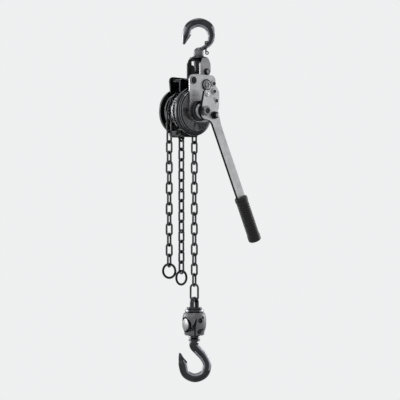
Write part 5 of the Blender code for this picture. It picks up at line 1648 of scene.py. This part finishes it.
class HOIST_OT_stage(bpy.types.Operator):
    """Plain pale floor and surroundings, soft studio lamps and the camera"""
    bl_idname = "hoist.stage"
    bl_label = "Stage"

    def execute(self, context):
        centre = along_hook(ORIGIN, *VIEW_MIDDLE)
        self.add_camera(centre)
        self.add_world(context.scene.hoist_colours)
        self.add_floor(context.scene.hoist_colours)
        level = context.scene.hoist_sizes.light_level
        light("Key lamp", along_hook(centre, -1.3, 1.2, 2.3), centre, 1.2, 1.2, 10 * level)
        light("Top lamp", along_hook(centre, -0.2, 2.0, -0.2), centre, 1.0, 1.0, 14 * level)
        light("Left bank", along_hook(centre, -2.05, 0.35, -0.75), centre, 1.2, 1.4, 32 * level)
        light("Right bank", along_hook(centre, 1.85, 0.35, -1.15), centre, 1.2, 1.4, 28 * level)
        context.scene.view_settings.view_transform = "Standard"
        return {"FINISHED"}

    def add_camera(self, centre):
        """A level camera five metres away that sees one metre of height."""
        data = bpy.data.cameras.new("Camera")
        camera = bpy.data.objects.new("Camera", data)
        bpy.context.scene.collection.objects.link(camera)
        data.sensor_fit = "HORIZONTAL"
        data.angle = 2 * math.atan(VIEW_HEIGHT / 2 / CAMERA_DISTANCE)
        camera.location = centre + CAMERA_DISTANCE * HOOK_FACE
        camera.rotation_euler = (-HOOK_FACE).to_track_quat("-Z", "Y").to_euler()
        bpy.context.scene.camera = camera

    def add_world(self, colours):
        """Pale surroundings for the camera and for reflections, a softer level for the light itself."""
        world = bpy.data.worlds.new("Pale surroundings")
        world.use_nodes = True
        bpy.context.scene.world = world
        tree = world.node_tree
        tree.nodes.clear()
        path = tree.nodes.new("ShaderNodeLightPath")
        seen = math_node(tree, "MAXIMUM", path.outputs["Is Camera Ray"], path.outputs["Is Glossy Ray"])
        seen = math_node(tree, "MAXIMUM", seen, path.outputs["Is Transmission Ray"])
        pale = tree.nodes.new("ShaderNodeBackground")
        pale.inputs["Color"].default_value = (*colours.backdrop, 1)
        soft = tree.nodes.new("ShaderNodeBackground")
        soft.inputs["Color"].default_value = (*colours.backdrop, 1)
        soft.inputs["Strength"].default_value = 0.45
        mix = tree.nodes.new("ShaderNodeMixShader")
        tree.links.new(seen, mix.inputs[0])
        tree.links.new(soft.outputs[0], mix.inputs[1])
        tree.links.new(pale.outputs[0], mix.inputs[2])
        output = tree.nodes.new("ShaderNodeOutputWorld")
        tree.links.new(mix.outputs[0], output.inputs["Surface"])

    def add_floor(self, colours):
        """A wide pale floor well below the bottom hook."""
        clear()
        bpy.ops.mesh.primitive_circle_add(vertices=96, radius=FLOOR_RADIUS, fill_type="NGON",
                                          location=FLOOR_HEIGHT * UP)
        floor = bpy.context.object
        floor.name = "Studio_floor"
        bpy.ops.object.transform_apply(location=True)
        material = bpy.data.materials.new("Pale floor")
        material.use_nodes = True
        tree = material.node_tree
        shader = tree.nodes["Principled BSDF"]
        place = tree.nodes.new("ShaderNodeTexCoord")
        speck = noise(tree, place.outputs["Object"], 30.0)
        tone = colours.backdrop
        cloud = spread(tree, speck, 0.3, 0.7, 0.0, 1.0)
        shade = blend_colour(tree, cloud, (*scaled(tone, 0.96), 1), (*tone, 1))
        tree.links.new(shade, shader.inputs["Base Color"])
        shader.inputs["Roughness"].default_value = 0.9
        floor.data.materials.append(material)


# Settings, panel and registration

def colour_setting(name, description, value):
    """A colour that a user can change."""
    return bpy.props.FloatVectorProperty(name=name, description=description, subtype="COLOR", size=3,
                                         min=0.0, max=1.0, default=value)


class HoistSizes(bpy.types.PropertyGroup):
    """Sizes and amounts that a user would change"""
    plate_edge: bpy.props.FloatProperty(
        name="Plate edge", description="Rounding of the plates' edges",
        default=0.0009, min=0.0002, max=0.0018, unit="LENGTH", precision=5)
    grip_rib: bpy.props.FloatProperty(
        name="Grip rib", description="Distance from one rib of the grip to the next",
        default=0.006, min=0.004, max=0.012, unit="LENGTH", precision=5)
    edge_wear: bpy.props.FloatProperty(
        name="Edge wear", description="How much bright metal shows along the edges",
        default=0.6, min=0.0, max=2.0, subtype="FACTOR")
    light_level: bpy.props.FloatProperty(
        name="Light level", description="Strength of all the lamps together",
        default=1.0, min=0.1, max=4.0, subtype="FACTOR")


class HoistColours(bpy.types.PropertyGroup):
    """Colours of the hoist and its surroundings"""
    hook: colour_setting("Hooks", "Forged hooks and bolt heads", (0.036, 0.037, 0.040))
    chain: colour_setting("Chain", "Chains and rings", (0.044, 0.045, 0.047))
    plates: colour_setting("Plates", "Front plate and yoke", (0.33, 0.33, 0.335))
    lever: colour_setting("Lever", "Lever arm", (0.36, 0.36, 0.365))
    bright: colour_setting("Machined steel", "Bright turned parts", (0.22, 0.22, 0.225))
    blackened: colour_setting("Blackened steel", "Rear plates and small parts", (0.012, 0.0125, 0.0135))
    covers: colour_setting("Covers", "Painted round covers and hub", (0.018, 0.0185, 0.020))
    block: colour_setting("Block", "Cast halves of the hook block", (0.115, 0.115, 0.118))
    bronze: colour_setting("Bushes", "Bearing bushes", (0.48, 0.34, 0.14))
    grip: colour_setting("Grip", "Moulded hand grip", (0.005, 0.005, 0.0055))
    backdrop: colour_setting("Backdrop", "Floor and surroundings", (0.86, 0.865, 0.87))


STEPS = ("finishes", "top_hook", "yoke", "plates", "covers", "fasteners", "guide", "wheel", "lever",
         "chains", "block", "bottom_hook", "inner_parts", "stage")


class HOIST_PT_panel(bpy.types.Panel):
    """Lists the hoist's pieces, sizes and colours"""
    bl_idname = "HOIST_PT_panel"
    bl_label = "Lever chain hoist"
    bl_space_type = "VIEW_3D"
    bl_region_type = "UI"
    bl_category = "Hoist"

    def draw(self, context):
        layout = self.layout
        for settings in (context.scene.hoist_sizes, context.scene.hoist_colours):
            box = layout.box()
            for key in settings.__annotations__:
                box.prop(settings, key)
        for step in STEPS:
            layout.operator(f"hoist.{step}")


CLASSES = (HoistSizes, HoistColours, HOIST_OT_finishes, HOIST_OT_top_hook, HOIST_OT_yoke,
           HOIST_OT_plates, HOIST_OT_covers, HOIST_OT_fasteners, HOIST_OT_guide, HOIST_OT_wheel,
           HOIST_OT_lever, HOIST_OT_chains, HOIST_OT_block, HOIST_OT_bottom_hook,
           HOIST_OT_inner_parts, HOIST_OT_stage, HOIST_PT_panel)


def register():
    """Adds the classes and the scene's settings."""
    for item in CLASSES:
        bpy.utils.register_class(item)
    bpy.types.Scene.hoist_sizes = bpy.props.PointerProperty(type=HoistSizes)
    bpy.types.Scene.hoist_colours = bpy.props.PointerProperty(type=HoistColours)


def unregister():
    """Removes them again."""
    del bpy.types.Scene.hoist_colours
    del bpy.types.Scene.hoist_sizes
    for item in reversed(CLASSES):
        bpy.utils.unregister_class(item)


def main():
    """Builds the hoist in order."""
    register()
    for step in STEPS:
        getattr(bpy.ops.hoist, step)()


if __name__ == "__main__":
    main()
